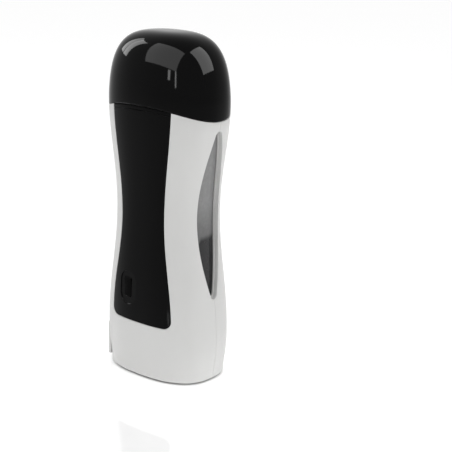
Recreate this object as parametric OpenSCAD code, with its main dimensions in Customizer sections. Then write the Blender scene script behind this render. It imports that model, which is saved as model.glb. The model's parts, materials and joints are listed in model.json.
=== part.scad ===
// Hand-held warmer for roll-on wax cartridges: a waisted two-half housing with
// leaf-shaped side windows, a glossy front panel and a lift-off domed cap.
// Front faces -Y, width runs along X, and the flat base stands on z = 0.

/* [Body outline] */
// Overall height with the cap on
height = 200; // [196:1:206]
// Overall width, at the shoulder
shoulder_w = 76.8; // [75:0.2:80]
// How much narrower the hip is than the shoulder
hip_less = 1.4; // [-2:0.2:4]
// How much narrower the foot is than the hip
foot_less = 4.6; // [2:0.2:7]
// Height of the hip
hip_z = 21; // [17:1:26]
// How much narrower the waist is than the shoulder
waist_less = 14.8; // [11:0.2:15]
// Height of the waist
waist_z = 97; // [90:1:105]
// Height of the shoulder
shoulder_z = 166; // [160:1:172]
// Overall depth, at the shoulder
shoulder_d = 52.2; // [51:0.2:55]
// How much shallower the belly, above the foot, is than the shoulder
belly_less = 0.6; // [-1.6:0.2:1.6]
// How much shallower the foot is than the belly
foot_thin = 2.2; // [0:0.2:3.6]
// Height of the belly
belly_z = 41; // [35:1:48]
// How much shallower the waist is than the shoulder
waist_thin = 5; // [2.2:0.2:5.4]
// Squareness of the low sections, where 2 is an ellipse
low_square = 2.54; // [2.4:0.02:2.8]
// Squareness of the top sections
top_square = 2.23; // [2.1:0.02:2.5]
// How far under the joint the outline starts to round over into the crown
crown_drop = 7.6; // [4.6:0.2:10.6]
// How long the crown's sides stay upright
crown_hold = 3.4; // [3:0.1:4]
// How tight the crown's shoulder is
crown_tight = 3.56; // [3:0.1:4]
// Radius of the lower edge of the shells
foot_r = 1.2; // [0.6:0.1:1.8]
// Wall of the two shells
wall = 2.4; // [2.2:0.1:2.6]
// Gap between the two shells at the parting line
parting = 0.06; // [0.04:0.02:0.2]

/* [Cap] */
// Height of the joint under the cap, at the sides
joint_z = 153.6; // [153:0.2:156]
// Radius of the wave that the joint follows from side to front
joint_r = 49; // [46:1:60]
// Gap between cap and shells
joint_gap = 0.4; // [0.3:0.05:0.6]
// Wall of the cap
cap_wall = 2; // [1.6:0.1:2.2]
// How far the neck ring, which the cap slides over, rises above the joint
neck_rise = 12.4; // [11.4:0.2:16]
// Running clearance of the cap on the neck ring
neck_gap = 0.35; // [0.3:0.05:0.6]
// Wall of the neck ring
neck_wall = 1.6; // [1.4:0.1:1.8]
// Thickness of the deck around the cartridge mouth
neck_deck = 2; // [1.6:0.1:2.6]
// Clearance of the neck ring and the panes inside the shells
fit_gap = 0.3; // [0.28:0.02:0.36]
// Clearance between pieces that are glued or stand on each other
seat_gap = 0.1; // [0.08:0.02:0.16]
// Clearance of pieces that are pressed together
press_gap = 0.02; // [0.02:0.01:0.04]
// Height of the neck ring's lower edge over the tips of the panes
neck_over = 1.1; // [0.8:0.1:1.6]
// Wall of the collar round the chamber's top flange
collar_wall = 1.6; // [1.2:0.1:1.8]

/* [Front panel] */
// Width of the panel at its foot
panel_foot_w = 45.4; // [43:0.2:48]
// Width of the panel at the waist
panel_waist_w = 32.2; // [30:0.2:35]
// Width of the panel at its top
panel_top_w = 43.2; // [41:0.2:46]
// Height of the panel's lower edge
panel_z = 33.8; // [31:0.2:36]
// Radius of the panel's lower corners
panel_corner = 5; // [4:0.5:7]
// Thickness of the panel
panel_t = 1.6; // [1.5:0.1:1.8]
// Wall of the front shell left behind the panel
panel_backing = 1.2; // [1:0.1:1.3]
// Gap round the panel's edge
panel_gap = 0.25; // [0.2:0.05:0.4]
// Strip of shell left bare between the panel and the cap
panel_reveal = 0.3; // [0.2:0.1:2]
// Distance of the fine groove across the panel from its upper edge
groove_in = 1.4; // [1:0.1:3]
// Width and depth of the groove
groove = 0.3; // [0.2:0.05:0.4]

/* [Power button] */
// Distance of the button from the middle, towards the inlet side
button_x = 9; // [8:0.5:10]
// Height of the button's middle
button_z = 53.4; // [52:0.2:54]
// Width of the button
button_w = 5.6; // [5:0.2:6]
// Height of the button's face
button_h = 11.2; // [10:0.2:12]
// Corner radius of the button's face
button_r = 0.8; // [0.4:0.1:1.2]
// Gap round the button in its slot
button_gap = 0.25; // [0.2:0.05:0.35]
// Travel of the button
button_travel = 1; // [0.8:0.1:1]
// How far the button's face lies under the panel's surface
button_sink = 0.35; // [0.2:0.05:0.6]
// Width of the flange that keeps the button in
flange_rim = 1; // [0.8:0.1:1.1]
// Thickness of the flange
flange_t = 1; // [0.8:0.1:1.1]
// Clearance of the flange behind the front shell
flange_gap = 0.35; // [0.3:0.05:0.4]
// Diameter of the button's stem
stem_d = 3; // [2.4:0.2:3.2]
// Width of the shallow dish in the panel
dish_w = 13; // [12:0.2:14]
// How far the dish's middle lies from the button's, towards the middle
dish_shift = 0.6; // [0:0.1:1]
// Height of the dish
dish_h = 20; // [19:0.2:21]
// Depth of the dish
dish_deep = 0.8; // [0.6:0.05:0.9]

/* [Side windows] */
// Height of the lower tip of the windows
window_low = 50; // [48:0.5:54]
// Distance of the windows' upper tips under the joint
window_drop = 5.6; // [5.2:0.1:9.6]
// Width of the windows at their middle
window_w = 18.6; // [16:0.2:19]
// Radius of the windows' tips
window_tip = 2.8; // [2:0.1:3.4]
// How much thicker the shells are round the windows
window_lip = 0.7; // [0.5:0.1:0.8]
// Thickness of the panes
pane_t = 1; // [0.9:0.1:1.1]
// How far a pane laps behind the shells
pane_lap = 2; // [1.6:0.1:2.2]

/* [Mains inlet] */
// Distance of the sides of the raised pad round the inlet from the belly's front and back
pad_in = 8.3; // [7.8:0.1:9.8]
// Height of the pad's lower edge
pad_low = 4; // [3.8:0.1:4.6]
// Height of the pad's upper edge
pad_high = 24.5; // [23.5:0.5:26]
// How far the pad stands proud of the hip
pad_proud = 0.4; // [0.3:0.1:0.8]
// How far the pad's rear reaches inside the shells' wall
pad_root = 3; // [2.6:0.1:3.4]
// Gap round the pad in the shells
pad_gap = 0.2; // [0.15:0.05:0.3]
// Radius of the pad's upper edge
pad_round = 2; // [1:0.5:3]
// Height of the inlet's middle
inlet_z = 14; // [13.4:0.1:14.6]
// Radius of the two lobes of the inlet
lobe_r = 4.2; // [4:0.05:4.4]
// Distance from the middle to each lobe's centre
lobe_y = 4.1; // [4:0.05:4.3]
// Height of the inlet's waist
lobe_waist = 5.6; // [5:0.1:6]
// Depth of the inlet
inlet_deep = 11.4; // [11:0.1:12]
// Diameter of the contact pins
pin_d = 2.4; // [2.2:0.05:2.6]
// Spacing of the contact pins
pin_pitch = 8.6; // [8.2:0.1:8.8]
// How far the pins' tips lie inside the mouth
pin_shy = 2; // [1.5:0.1:3]
// Length of the pins' tails behind the socket
pin_tail = 4; // [3:0.5:4.5]
// Thickness of the socket's floor behind the inlet
socket_floor = 1.6; // [1.2:0.1:2]
// How far the socket's core holds the pins behind the inlet
socket_back = 6; // [5:0.5:6.5]
// Wall of the core round the pins
core_wall = 0.7; // [0.6:0.05:0.8]
// Wall of the socket round the inlet
socket_wall = 1.5; // [1.4:0.1:2]

/* [Base plate] */
// Thickness of the base plate
base_t = 3; // [2.6:0.1:3.4]
// Height of the shells' lower edge over the table
base_show = 0.8; // [0.6:0.1:1.2]
// Clearance round the base plate
base_gap = 0.25; // [0.2:0.05:0.4]
// Distance of the shell screws from the middle, along the width
boss_x = 22; // [21:0.5:23]
// Diameter of the shells' screw bosses
boss_d = 6.2; // [6:0.1:6.8]
// Thickness of the webs that tie the bosses to the shells
web_t = 1.6; // [1.2:0.1:2]
// Height of the screw bosses' tops
boss_top = 15; // [13:0.5:18]
// Diameter of the screw threads in the base
base_screw_d = 3; // [2.6:0.1:3.2]
// Diameter of the base screws' heads
base_head_d = 5.6; // [5:0.1:6]
// Thickness of the base screws' heads
base_head_t = 1.2; // [1:0.1:1.3]
// Length of the base screws under the head
base_screw_l = 9; // [7:0.5:10]
// Clearance round the base screws' heads
head_gap = 0.3; // [0.2:0.05:0.4]
// How far the screws' heads lie inside the base
head_sink = 0.15; // [0.1:0.05:0.3]
// Gap between the heads and the base plate
head_seat = 0.05; // [0.04:0.01:0.1]
// Clearance of the screws in the base plate
shank_gap = 0.25; // [0.2:0.05:0.4]
// Width of the cross in the heads
cross_w = 3.2; // [2.6:0.1:3.6]
// Width of the cross's slots
cross_t = 0.7; // [0.5:0.1:0.9]
// Depth of the cross
cross_deep = 0.65; // [0.5:0.05:0.8]
// Room for the screws past their tips
screw_room = 0.3; // [0.2:0.1:0.6]
// Rim of the base plate outside the heads
head_rim = 0.8; // [0.6:0.1:1.2]
// Clearance of screw threads, on the diameter
thread_gap = 0.1; // [0.06:0.02:0.16]

/* [Heating chamber] */
// Distance of the cartridge well from the waist's sides
well_side = 7.2; // [7:0.1:8]
// Distance of the well from the waist's front, which leaves room for the board
well_front = 9.6; // [9.4:0.1:10.2]
// Distance of the well from the waist's back
well_rear = 7.6; // [7.4:0.1:8.4]
// Corner radius of the well
well_r = 12; // [11:0.5:13]
// Height of the well's floor
well_z = 40.4; // [38.5:0.1:42]
// Wall of the chamber
chamber_wall = 1; // [0.8:0.1:1.1]
// Width of the chamber's top flange
chamber_rim = 2.2; // [1.6:0.1:2.4]
// Thickness of the top flange
chamber_rim_t = 1.2; // [1:0.1:1.6]
// Width of the sight slots in the chamber's sides
slot_w = 11; // [8:0.5:12]
// How much shorter the sight slots are than the windows, at each end
slot_less = 6; // [4:0.5:10]
// Thickness of the cradle's plate
cradle_t = 3.4; // [3:0.1:4]
// Height of the cradle's rim over its plate
cradle_rim_h = 6; // [4:0.5:7]
// Wall of the cradle's rim
cradle_wall = 1.4; // [1.2:0.1:1.6]
// Clearance of the chamber in the cradle's rim
cradle_gap = 0.15; // [0.1:0.05:0.2]
// Diameter of the cradle's legs
leg_d = 6; // [5.4:0.2:6.2]
// Distance of the legs from the middle, along the width
leg_x = 16; // [15.8:0.1:16.2]
// Distance of the legs from the chamber's middle, along the depth
leg_y = 10; // [9.8:0.1:10.2]
// Diameter of the base plate's pins that locate the legs
peg_d = 3; // [2.6:0.1:3.4]
// Height of the locating pins
peg_h = 5; // [4:0.5:6]
// Clearance of the pins in the legs
peg_gap = 0.15; // [0.1:0.05:0.25]

/* [Heaters] */
// Width of the heater plates
heater_w = 22; // [18:0.5:23]
// Height of the heater plates
heater_h = 56; // [50:1:60]
// Height of the heaters' lower edge
heater_z = 78; // [76:1:80]
// Thickness of the heater plates
heater_t = 1.8; // [1.4:0.1:2]
// Thickness of the clip bands
band_t = 0.4; // [0.3:0.05:0.5]
// Height of each clip band
band_h = 7; // [5:0.5:9]
// Distance of the bands from the heaters' ends
band_inset = 8; // [6:0.5:12]
// Clearance of the bands round chamber and heaters
band_gap = 0.06; // [0.04:0.01:0.1]
// Width of the thermostat
thermostat_w = 8; // [7:0.2:9]
// Height of the thermostat's body
thermostat_h = 15; // [13:0.5:16]
// Thickness of the thermostat
thermostat_t = 3.2; // [2.8:0.1:3.4]
// Height of the thermostat's lower edge
thermostat_z = 58; // [56:0.5:60]
// Distance of thermostat and fuse from the middle
sensor_x = 7; // [6:0.5:8]
// Diameter of the thermal fuse
fuse_d = 3.2; // [2.8:0.1:3.4]
// Length of the thermal fuse
fuse_l = 12; // [10:0.5:13]
// Thickness of the strap that holds the fuse
strap_t = 0.6; // [0.5:0.05:0.8]
// Height of the strap
strap_h = 4; // [3:0.5:5]
// Length of the strap's feet beside the fuse
strap_foot = 1.95; // [1.5:0.05:2.2]
// Clearance of the strap round the fuse
strap_gap = 0.05; // [0.04:0.01:0.1]

/* [Circuit board] */
// Width of the circuit board
board_w = 36; // [35:0.5:37]
// Height of the board's lower edge
board_low = 8; // [7:0.5:10]
// Height of the board's upper edge
board_high = 68; // [67:0.5:69]
// Thickness of the board
board_t = 1.2; // [1:0.1:1.4]
// Gap between the board and the chamber
board_gap = 0.8; // [0.7:0.05:0.9]
// Distance of the board's holes from its edges
hole_in = 3.5; // [3.2:0.1:4]
// Diameter of the board's holes
hole_d = 2.4; // [2.3:0.05:2.6]
// Diameter of the standoffs under the board
standoff_d = 5.5; // [5:0.1:5.8]
// Diameter of the board screws
board_screw_d = 2; // [1.8:0.05:2.2]
// Length of the board screws under the head
board_screw_l = 4; // [3.5:0.1:4.2]
// Diameter of the board screws' heads
board_head_d = 3.8; // [3.4:0.1:4]
// Thickness of the board screws' heads
board_head_t = 0.5; // [0.4:0.05:0.55]
// Width and height of the switch
switch_w = 7; // [6:0.2:7.4]
// Depth of the switch
switch_t = 1.9; // [1.7:0.1:1.9]
// Diameter of the capacitor
cap_can_d = 9; // [7:0.5:10]
// Height of the capacitor
cap_can_h = 11; // [9:0.5:12]
// Side of the relay
relay_w = 10; // [8:0.5:11]
// Length of the relay
relay_l = 14; // [12:0.5:15]
// Depth of the relay
relay_t = 10; // [8:0.5:11]
// Diameter of the wires
wire_d = 1.6; // [1.2:0.1:1.8]
// Gap between a wire's end and what it is soldered to
wire_gap = 0.15; // [0.1:0.05:0.2]

/* [Hidden] */

// Colours
c_shell = [0.80, 0.79, 0.77];
c_gloss = [0.05, 0.05, 0.055];
c_matt = [0.13, 0.13, 0.135];
c_pane = [0.5, 0.5, 0.51, 0.6];
c_metal = [0.78, 0.79, 0.8];
c_board = [0.1, 0.33, 0.2];

// Steps of the lofted surfaces
side_steps = 8;      // from a window's edge to the panel's edge
panel_steps = 12;    // across the panel
back_steps = 9;      // from a window's edge to the middle of the back
ring_steps = 48;     // round the cap and the neck ring
level_step = 9;      // height between sections of the housing
cap_levels = 11;     // sections of the cap
square_z0 = 60;      // squareness starts to change here
square_z1 = 180;     // and ends here
wave_z0 = 118;       // sections are level up to here, and follow the joint's wave at the top
ledge = 0.08;        // height of the ledge under the panel
draft = 0.15;        // draft of the recess's side
tiny = 0.01;

// Derived sizes
hip_w = shoulder_w - hip_less;
foot_w = hip_w - foot_less;
waist_w = shoulder_w - waist_less;
belly_d = shoulder_d - belly_less;
foot_d = belly_d - foot_thin;
waist_d = shoulder_d - waist_thin;
crown_z = joint_z - crown_drop;
neck_top = joint_z + neck_rise;
window_high = joint_z - window_drop;
well_w = waist_w - 2 * well_side;
well_d = waist_d - well_front - well_rear;
well_back = (well_front - well_rear) / 2;       // the chamber sits this far behind the middle
recess = panel_t + seat_gap;
shell_low = base_show;
shell_high = joint_z - joint_gap / 2;
window_mid = (window_low + window_high) / 2;
window_half = (window_high - window_low) / 2;
lens_half = window_half - window_tip;
lens_w = window_w / 2 - window_tip;
lens_r = (pow(lens_half, 2) + pow(lens_w, 2)) / (2 * lens_w);
chamber_w = well_w + 2 * chamber_wall;
chamber_d = well_d + 2 * chamber_wall;
chamber_r = well_r + chamber_wall;
chamber_low = well_z - chamber_wall;
neck_low = window_high + pane_lap + neck_over;
chamber_high = neck_low - seat_gap;
chamber_front = well_back - chamber_d / 2;
chamber_rear = well_back + chamber_d / 2;
board_y = chamber_front - board_gap;            // rear face of the board
board_face = board_y - board_t;                 // front face of the board
pad_x = hip_w / 2 + pad_proud;                  // outermost face of the inlet pad
socket_x = pad_x - inlet_deep;                  // floor of the inlet
pad_back = half_w(pad_low) - wall - pad_root;   // rear face of the pad, inside the shells
pad_half = belly_d / 2 - pad_in;                // half the width of the inlet pad
core_half = (pin_pitch + pin_d) / 2 + core_wall;
base_w = 2 * (axis_w(shell_low, wall) - base_gap);
base_d = 2 * (axis_d(shell_low, wall) - base_gap);
cradle_low = chamber_low - seat_gap - cradle_t;
cradle_high = cradle_low + cradle_t + cradle_rim_h;
boss_y = base_edge(boss_x) - head_rim - head_gap - base_head_d / 2;
wall_d = max(wall, recess + panel_backing);     // inset of the front shell's inside behind the panel
hole_x = board_w / 2 - hole_in;
button_y = face_y(button_x, button_z, button_sink);
flange_y = face_y(button_x + button_w / 2 + flange_rim, button_z + button_h / 2 + flange_rim,
    recess + panel_backing) + flange_gap;       // front face of the flange
switch_y = board_face - switch_t;               // front face of the switch

// ---- Outline of the housing -------------------------------------------------

function unit(t) = min(max(t, 0), 1);
function ease(t) = (1 - cos(180 * unit(t))) / 2;
function blend(z, z0, v0, z1, v1) = v0 + (v1 - v0) * ease((z - z0) / (z1 - z0));
function sgn(v) = v < 0 ? -1 : 1;
function arc_inset(u, r) = r * (1 - sqrt(1 - pow(1 - unit(u), 2)));

// Half width and half depth of the outline, before the crown closes it
function half_w(z) = (z < hip_z ? blend(z, 0, foot_w, hip_z, hip_w)
    : z < waist_z ? blend(z, hip_z, hip_w, waist_z, waist_w)
    : blend(z, waist_z, waist_w, shoulder_z, shoulder_w)) / 2;
function half_d(z) = (z < belly_z ? blend(z, 0, foot_d, belly_z, belly_d)
    : z < waist_z ? blend(z, belly_z, belly_d, waist_z, waist_d)
    : blend(z, waist_z, waist_d, shoulder_z, shoulder_d)) / 2;
function square(z) = blend(z, square_z0, low_square, square_z1, top_square);

// Crown, closing at inset d under the top
function crown(z, d) = z <= crown_z ? 1
    : pow(1 - pow(unit((z - crown_z) / (height - d - crown_z)), crown_hold), 1 / crown_tight);
function crown_level(k, d) = crown_z
    + (height - d - crown_z) * pow(1 - pow(k, crown_tight), 1 / crown_hold);

// Half axes of the section at height z, inset by d
function axis_w(z, d) = (half_w(z) - d) * crown(z, d);
function axis_d(z, d) = (half_d(z) - d) * crown(z, d);

// Points on the inset surface, by angle, by x on the front, or by y on the right
function plan(t, z, d) = let (e = 2 / square(z), c = cos(t), s = sin(t))
    [axis_w(z, d) * sgn(c) * pow(abs(c), e), axis_d(z, d) * sgn(s) * pow(abs(s), e), z];
function face_y(x, z, d) = let (n = square(z))
    -axis_d(z, d) * pow(1 - pow(unit(abs(x) / axis_w(z, d)), n), 1 / n);
function side_x(y, z, d) = let (n = square(z))
    axis_w(z, d) * pow(1 - pow(unit(abs(y) / axis_d(z, d)), n), 1 / n);

// Height of the joint under the cap, at depth y, and a section warped towards it
function joint_at(y) = joint_z + joint_r - sqrt(pow(joint_r, 2) - pow(y, 2));
function warp(z, y) = z + (joint_at(y) - joint_z)
    * pow(unit((z - wave_z0) / (shell_high - wave_z0)), 1.5);

// Half width of a window at height z, and half width of the panel or its recess
function leaf(z) = let (v = abs(z - window_mid)) v >= window_half ? 0
    : v > lens_half * (lens_r + window_tip) / lens_r ? sqrt(pow(window_tip, 2) - pow(v - lens_half, 2))
    : sqrt(pow(lens_r + window_tip, 2) - v * v) - (lens_r - lens_w);
function panel_half(z, gap) = let (r = panel_corner - gap)
    (z < waist_z ? blend(z, panel_z, panel_foot_w, waist_z, panel_waist_w)
        : blend(z, waist_z, panel_waist_w, shoulder_z, panel_top_w)) / 2
    - gap - arc_inset((z - panel_z - gap) / r, r);
function recess_at(z) = z <= panel_z + tiny ? 0 : recess;
function foot_inset(z) = arc_inset((z - shell_low) / foot_r, foot_r);

// Ordered list without repeats, and a stack of heights from z0 to z1
function ordered(v) = len(v) < 2 ? v : let (p = v[floor(len(v) / 2)])
    concat(ordered([for (x = v) if (x < p - tiny) x]), [p], ordered([for (x = v) if (x > p + tiny) x]));
function stack(z0, z1) = let (n = ceil((z1 - z0) / level_step))
    [for (i = [0:n]) z0 + (z1 - z0) * i / n];
function corner_levels(z, r) = [for (i = [0:3]) z + r * (1 - cos(30 * i))];
function flat(rows) = [for (row = rows) each row];

// ---- Sections of the shells -------------------------------------------------

// Half opening left at the side of a section, for the windows and the parting line
function side_gap(z) = max(leaf(z), parting / 2);

// Angle from the side of the outline, where it is y deep or x from the middle
function angle_y(y, z, d) = asin(pow(unit(y / axis_d(z, d)), square(z) / 2));
function angle_x(x, z, d) = acos(pow(unit(x / axis_w(z, d)), square(z) / 2));

// Point of the front's side zone at share s from the window to the panel
function side_t(s, z, d, grow) = let (a = angle_y(side_gap(z), z, d))
    a + (angle_x(panel_half(z, 0) + grow, z, d) - a) * s;
function side_pt(s, z, d, grow, side) = let (
    y = plan(side_t(s, z, d, grow), z, d)[1],
    zw = warp(z, y),
    p = plan(side_t(s, zw, d, grow), zw, d))
    [side * p[0], -p[1], zw];

// Point of the front's panel zone at share f of the recess's half width
function panel_pt(f, z, d, grow) = let (
    y = face_y(f * (panel_half(z, 0) + grow), z, d),
    zw = warp(z, y),
    x = f * (panel_half(zw, 0) + grow))
    [x, face_y(x, zw, d), zw];

// Rows of a shell; the inner ones lie deeper next to a window, by its lip
function lip_at(z) = z < window_low - pane_lap - tiny || z > window_high + pane_lap + tiny ? 0 : window_lip;
function front_row(z, d_side, d_panel, grow, lip = 0) = concat(
    [for (i = [0:side_steps]) side_pt(i / side_steps, z, d_side + (i < 2 ? lip : 0), grow, -1)],
    [for (j = [0:panel_steps]) panel_pt(2 * j / panel_steps - 1, z, d_panel, grow - draft)],
    [for (i = [side_steps:-1:0]) side_pt(i / side_steps, z, d_side + (i < 2 ? lip : 0), grow, 1)]);

// Point of the back at share s from a window to the middle
function back_pt(s, z, d, side) = let (
    a = angle_y(side_gap(z), z, d),
    y = plan(a + (90 - a) * s, z, d)[1],
    zw = warp(z, y),
    aw = angle_y(side_gap(zw), zw, d),
    p = plan(aw + (90 - aw) * s, zw, d))
    [side * p[0], p[1], zw];
function back_row(z, d, lip = 0) = concat(
    [for (i = [0:back_steps]) back_pt(i / back_steps, z, d + (i < 2 ? lip : 0), 1)],
    [for (i = [back_steps - 1:-1:0]) back_pt(i / back_steps, z, d + (i < 2 ? lip : 0), -1)]);

foot_levels = [for (i = [0:3]) shell_low + foot_r * (1 - cos(30 * i))];
window_levels = concat(
    [window_low - pane_lap - 2 * window_lip, window_low - pane_lap],
    [window_high + pane_lap, neck_low - neck_over / 2],
    [for (i = [0:3], end = [window_low, window_high])
        end + sgn(window_mid - end) * window_tip * (1 - cos(30 * i))]);
back_levels = ordered(concat(foot_levels, window_levels, stack(foot_levels[3], window_low - pane_lap),
    stack(window_low + window_tip, window_high - window_tip), [shell_high]));
front_levels = ordered(concat(foot_levels, [panel_z, panel_z + ledge], window_levels,
    corner_levels(panel_z + ledge, panel_corner), stack(foot_levels[3], panel_z),
    stack(window_low + window_tip, window_high - window_tip), [shell_high]));

// Closed sheet between an outer and an inner grid of the same rows and columns.
// A wrapped sheet joins its last column to its first; a crowned one closes at a tip.
module sheet(outer, inner, wrap = false, tips = []) {
    rows = len(outer);
    cols = len(outer[0]);
    size = rows * cols;
    tip = 2 * size;
    last = wrap ? cols - 1 : cols - 2;
    faces = concat(
        [for (r = [0:rows - 2], c = [0:last]) let (a = r * cols + c, b = r * cols + (c + 1) % cols)
            each [[a, a + cols, b + cols], [a, b + cols, b]]],
        [for (r = [0:rows - 2], c = [0:last])
            let (a = size + r * cols + c, b = size + r * cols + (c + 1) % cols)
            each [[a, b + cols, a + cols], [a, b, b + cols]]],
        [for (c = [0:last]) let (a = c, b = (c + 1) % cols)
            each [[a, b, size + b], [a, size + b, size + a]]],
        tips != []
            ? [for (c = [0:last]) let (a = (rows - 1) * cols + c, b = (rows - 1) * cols + (c + 1) % cols)
                each [[a, tip, b], [size + a, size + b, tip + 1]]]
            : [for (c = [0:last]) let (a = (rows - 1) * cols + c, b = (rows - 1) * cols + (c + 1) % cols)
                each [[a, size + b, b], [a, size + a, size + b]]],
        wrap ? [] : [for (r = [0:rows - 2]) let (a = r * cols, b = r * cols + cols - 1)
            each [[a, size + a, size + a + cols], [a, size + a + cols, a + cols],
                [b, size + b + cols, size + b], [b, b + cols, size + b + cols]]]);
    polyhedron(concat(flat(outer), flat(inner), tips), faces);
}

// Prism with a closed outline in the X-Z plane, from y0 to y1
module along_y(y0, y1) translate([0, y1, 0]) rotate([90, 0, 0]) linear_extrude(y1 - y0) children();

// Cylinder along Y from y0 to y1
module rod_y(x, z, y0, y1, d) translate([x, y1, z]) rotate([90, 0, 0]) cylinder(h = y1 - y0, d = d, $fn = 32);

// Rectangle with exact round corners
module rounded(w, h, r) {
    square([w - 2 * r, h], center = true);
    square([w, h - 2 * r], center = true);
    for (sx = [-1, 1], sy = [-1, 1])
        translate([sx * (w / 2 - r), sy * (h / 2 - r)]) circle(r = r, $fn = 48);
}

// Upright prism with the chamber's plan, grown by g on all sides
module chamber_prism(z0, z1, g) translate([0, well_back, z0]) linear_extrude(z1 - z0)
    rounded(well_w + 2 * g, well_d + 2 * g, well_r + g);

// ---- Housing ----------------------------------------------------------------

module pad_notch(gap) translate([-pad_x - 5, -pad_half - gap, pad_low - gap])
    cube([pad_x + 5 - pad_back + gap, 2 * (pad_half + gap), pad_high - pad_low + 2 * gap]);

module button_slot(gap) translate([-button_x, 0, button_z]) along_y(-half_d(button_z) - 2, board_face)
    rounded(button_w + 2 * gap, button_h + 2 * gap, button_r + gap);

// Screw boss of a shell, tied to its wall by a web
module shell_boss(side, front) translate([side * boss_x, front * boss_y, base_t]) {
    cylinder(h = boss_top - base_t, d = boss_d, $fn = 32);
    reach = wall / 2 - face_y(boss_x, base_t, wall) - boss_y;
    translate([-web_t / 2, front < 0 ? -reach : 0, 0]) cube([web_t, reach, boss_top - base_t - 1]);
}
module boss_bore(side, front) translate([side * boss_x, front * boss_y, base_t - 1])
    cylinder(h = base_screw_l + 1 + screw_room, d = base_screw_d + thread_gap, $fn = 24);

// One standoff for each board screw, from inside the shell's wall to the board
module at_board_holes() for (side = [-1, 1], z = [board_low + hole_in, board_high - hole_in])
    translate([side * hole_x, 0, z]) children();

module front_shell() color(c_shell) difference() {
    union() {
        sheet([for (z = front_levels) front_row(z, foot_inset(z), max(foot_inset(z), recess_at(z)), 0)],
            [for (z = front_levels)
                front_row(z, wall, z > panel_z ? wall_d : wall, panel_backing, lip_at(z))]);
        for (side = [-1, 1]) shell_boss(side, -1);
        at_board_holes()
            rod_y(0, 0, face_y(hole_x, board_high - hole_in, wall_d - panel_backing / 3),
                board_face, standoff_d);
    }
    pad_notch(pad_gap);
    button_slot(button_gap);
    for (side = [-1, 1]) boss_bore(side, -1);
    at_board_holes() rod_y(0, 0, board_y - board_screw_l - screw_room, board_y, board_screw_d + thread_gap);
}

module back_shell() color(c_shell) difference() {
    union() {
        sheet([for (z = back_levels) back_row(z, foot_inset(z))],
            [for (z = back_levels) back_row(z, wall, lip_at(z))]);
        for (side = [-1, 1]) shell_boss(side, 1);
    }
    pad_notch(pad_gap);
    for (side = [-1, 1]) boss_bore(side, 1);
}

// Grid of the panel at inset d, from its lower edge to the strip under the cap, with
// a groove cut g deep
panel_high = shell_high - panel_reveal;
groove_z = panel_high - groove_in;
panel_levels = ordered(concat(corner_levels(panel_z + panel_gap, panel_corner - panel_gap),
    stack(panel_z + panel_corner, waist_z), stack(waist_z, groove_z - level_step / 2),
    [for (i = [-1:1]) groove_z + i * groove / 2], [panel_high]));
function panel_grid(d, g) = [for (z = panel_levels) [for (j = [0:panel_steps]) let (
    f = 2 * j / panel_steps - 1,
    e = d + (abs(z - groove_z) < tiny ? g : 0),
    zw = warp(z, face_y(f * panel_half(z, panel_gap), z, e)),
    x = f * panel_half(zw, panel_gap))
    [x, face_y(x, zw, e), zw]]];

// Dish cut into the panel, square to its surface at the button
module dish() {
    turn = atan((face_y(button_x + 3, button_z, 0) - face_y(button_x - 3, button_z, 0)) / 6);
    lean = atan((face_y(button_x, button_z + 5, 0) - face_y(button_x, button_z - 5, 0)) / 10);
    translate([dish_shift - button_x, face_y(button_x, button_z, 0), button_z])
        rotate([-lean, 0, -turn]) along_y(-5, dish_deep)
            rounded(dish_w, dish_h, dish_w / 2 - tiny);
}

module front_panel() color(c_gloss) difference() {
    sheet(panel_grid(0, groove), panel_grid(panel_t, 0));
    dish();
    button_slot(button_gap);
}

// Pane behind a window, lapping behind the shells' edges
function pane_grid(d, side) = let (n = 12, reach = window_half + pane_lap) [for (i = [0:n]) let (
    z = window_mid + reach * (2 * i / n - 1),
    w = leaf(window_mid + (z - window_mid) * window_half / reach) + pane_lap)
    [for (j = [0:8]) let (y = w * (j / 4 - 1)) [side * side_x(y, z, d), side * y, z]]];
pane_in = wall + window_lip + fit_gap;             // inset of the panes' outer face
module window_pane(side) color(c_pane)
    sheet(pane_grid(pane_in, side), pane_grid(pane_in + pane_t, side));
module window_right() window_pane(1);
module window_left() window_pane(-1);

// Domed cap: rows climb from the joint's wave to the tip
function cap_row(z, d) = let (low = joint_z + joint_gap / 2, reach = crown_level(0.72, d) - low)
    [for (i = [0:ring_steps - 1]) let (
        t = 360 * i / ring_steps,
        y = plan(t, z, d)[1],
        zw = z + (joint_at(y) - joint_z) * unit(1 - (z - low) / reach))
        plan(t, zw, d)];
function cap_grid(d) = let (low = joint_z + joint_gap / 2, split = crown_level(0.97, d)) concat(
    [for (i = [0:2]) cap_row(low + (split - low) * i / 3, d)],
    [for (i = [0:cap_levels - 3]) let (k = 0.97 * cos(82 * i / (cap_levels - 3)))
        cap_row(crown_level(k, d), d)]);
module cap() color(c_gloss) sheet(cap_grid(0), cap_grid(cap_wall), wrap = true,
    tips = [[0, 0, height], [0, 0, height - cap_wall]]);

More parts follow.
